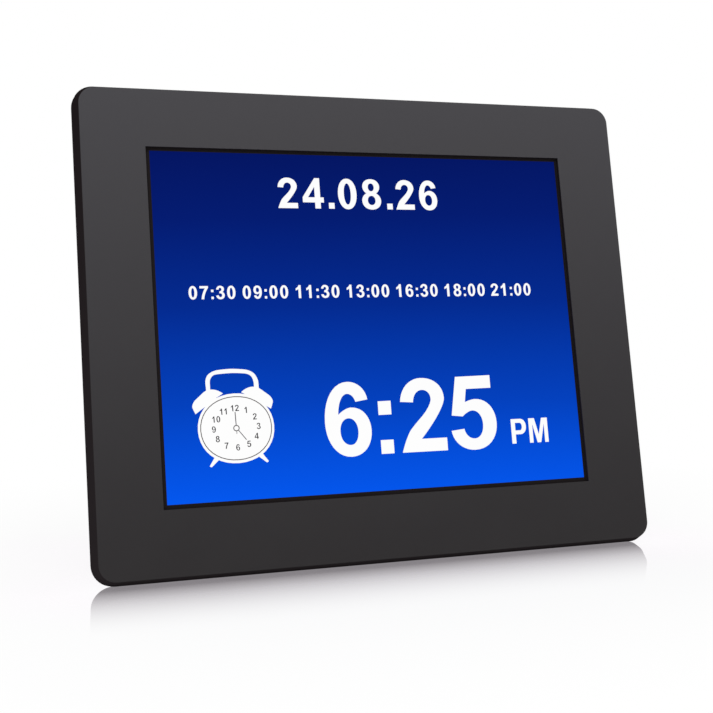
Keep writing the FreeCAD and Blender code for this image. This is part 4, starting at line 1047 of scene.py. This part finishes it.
# The lamps are wide discs that face the middle of the clock: place and width in metres, and
# power in watts. Shadows see the world at the ambient level, and everything else sees it white.
LAMPS = {
    "key": ((-0.5, -1.4, 1.45), 2.0, 15), "fill": ((1.7, -0.5, 1.1), 1.6, 5),
    "back": ((-0.4, 1.5, 1.4), 2.0, 14),
}
LIT_PLACE = Vector((0, 0, 0.085))
AMBIENT = 0.55


def add_lamp(name, place, size, watts):
    data = bpy.data.lights.new(name, "AREA")
    data.shape = "DISK"
    data.size = size
    data.energy = watts
    lamp = linked(name, data)
    lamp.location = place
    lamp.rotation_euler = (LIT_PLACE - Vector(place)).to_track_quat("-Z", "Y").to_euler()


def make_lights():
    for name, settings in LAMPS.items():
        add_lamp(name, *settings)

    world = bpy.data.worlds.new("studio")
    bpy.context.scene.world = world
    world.use_nodes = True
    sky = Network(world.node_tree)
    ray = sky.add("ShaderNodeLightPath")
    seen = sky.maths("MAXIMUM", ray.pick("Is Camera Ray"), ray.pick("Is Glossy Ray"))
    seen = sky.maths("MAXIMUM", seen, ray.pick("Is Transmission Ray"))
    background = world.node_tree.nodes["Background"]
    sky.feed(background.inputs["Color"], WHITE)
    sky.feed(background.inputs["Strength"], seen * (1 - AMBIENT) + AMBIENT)


# The floor is plain white far out, in metres. Near the clock it keeps a soft shadow and mirrors the clock: most at
# the frame's lower edge, less behind it, and with a faint violet tint painted into its glow as painted reflection
# colour.
FLOOR_REACH = 6.0
FOOT_REACH, EDGE_BACK = 0.0365, -0.035
MIRROR_REACH, MIRROR_MOST, MIRROR_DROP = 0.058, 0.72, 0.45
MIRROR_FADE, PAINTED_REFLECTION_TINT = 2.3, 0.09
SHADOW_REACH, WHITE_NEAR = 0.16, 0.82
PAINT_LEVEL, POLISH_ROUGHNESS = 0.93, 0.03


def make_floor():
    """A white table whose polish mirrors the clock near its foot."""
    mesh = bpy.data.meshes.new("table_top")
    reach = FLOOR_REACH
    corners = [(-reach, -reach, 0), (reach, -reach, 0), (reach, reach, 0), (-reach, reach, 0)]
    mesh.from_pydata(corners, [], [(0, 1, 2, 3)])
    floor = linked("table_top", mesh)

    material = bpy.data.materials.new("table_white")
    material.use_nodes = True
    net = Network(material.node_tree)
    material.node_tree.nodes.clear()
    place = net.add("ShaderNodeTexCoord").pick("Object")
    parts = net.add("ShaderNodeSeparateXYZ", None, {"Vector": place})
    beside = net.maths("MAXIMUM", abs(parts) - FACE_WIDTH / 2 * MM, 0.0)
    before = net.maths("MAXIMUM", abs(parts.pick("Y")) - FOOT_REACH, 0.0)
    away = (beside * beside + before * before) ** 0.5
    fade = net.maths("MAXIMUM", 1 - away / MIRROR_REACH, 0.0)
    behind = net.add("ShaderNodeMapRange", {"interpolation_type": "SMOOTHSTEP"}, {
        "Value": parts.pick("Y"), "From Min": EDGE_BACK, "From Max": 0.0,
    })
    mirror = (fade ** MIRROR_FADE) * (MIRROR_MOST - behind * MIRROR_DROP)
    paint = net.add("ShaderNodeBsdfDiffuse", None, {"Color": grey(PAINT_LEVEL)})
    # Painted reflection tint: the glow turns faintly violet where the floor mirrors the clock, most at its foot.
    tint = net.add("ShaderNodeCombineColor", None, {
        "Red": 1.0, "Green": 1 - mirror * PAINTED_REFLECTION_TINT, "Blue": 1.0,
    })
    glow = net.add("ShaderNodeEmission", None, {"Color": tint})
    polish = net.add("ShaderNodeBsdfGlossy", None, {
        "Color": WHITE, "Roughness": POLISH_ROUGHNESS,
    })
    ray = net.add("ShaderNodeLightPath")
    seen = net.maths("MAXIMUM", ray.pick("Is Camera Ray"), ray.pick("Is Glossy Ray"))
    whiteness = away * ((1 - WHITE_NEAR) / SHADOW_REACH) + WHITE_NEAR
    white_out = seen * net.maths("MINIMUM", whiteness, 1.0)
    surface = net.add("ShaderNodeMixShader", None, {
        "Fac": white_out, "Shader": paint, "Shader_001": glow,
    })
    surface = net.add("ShaderNodeMixShader", None, {
        "Fac": mirror, "Shader": surface, "Shader_001": polish,
    })
    net.add("ShaderNodeOutputMaterial", None, {"Surface": surface})
    mesh.materials.append(material)


dress_nodes()
make_housing()
picture_white = make_lettering()
make_icon(picture_white)
make_signs()
make_screws()
make_leds()
make_camera()
make_lights()
make_floor()
bpy.context.scene.view_settings.view_transform = "Standard"
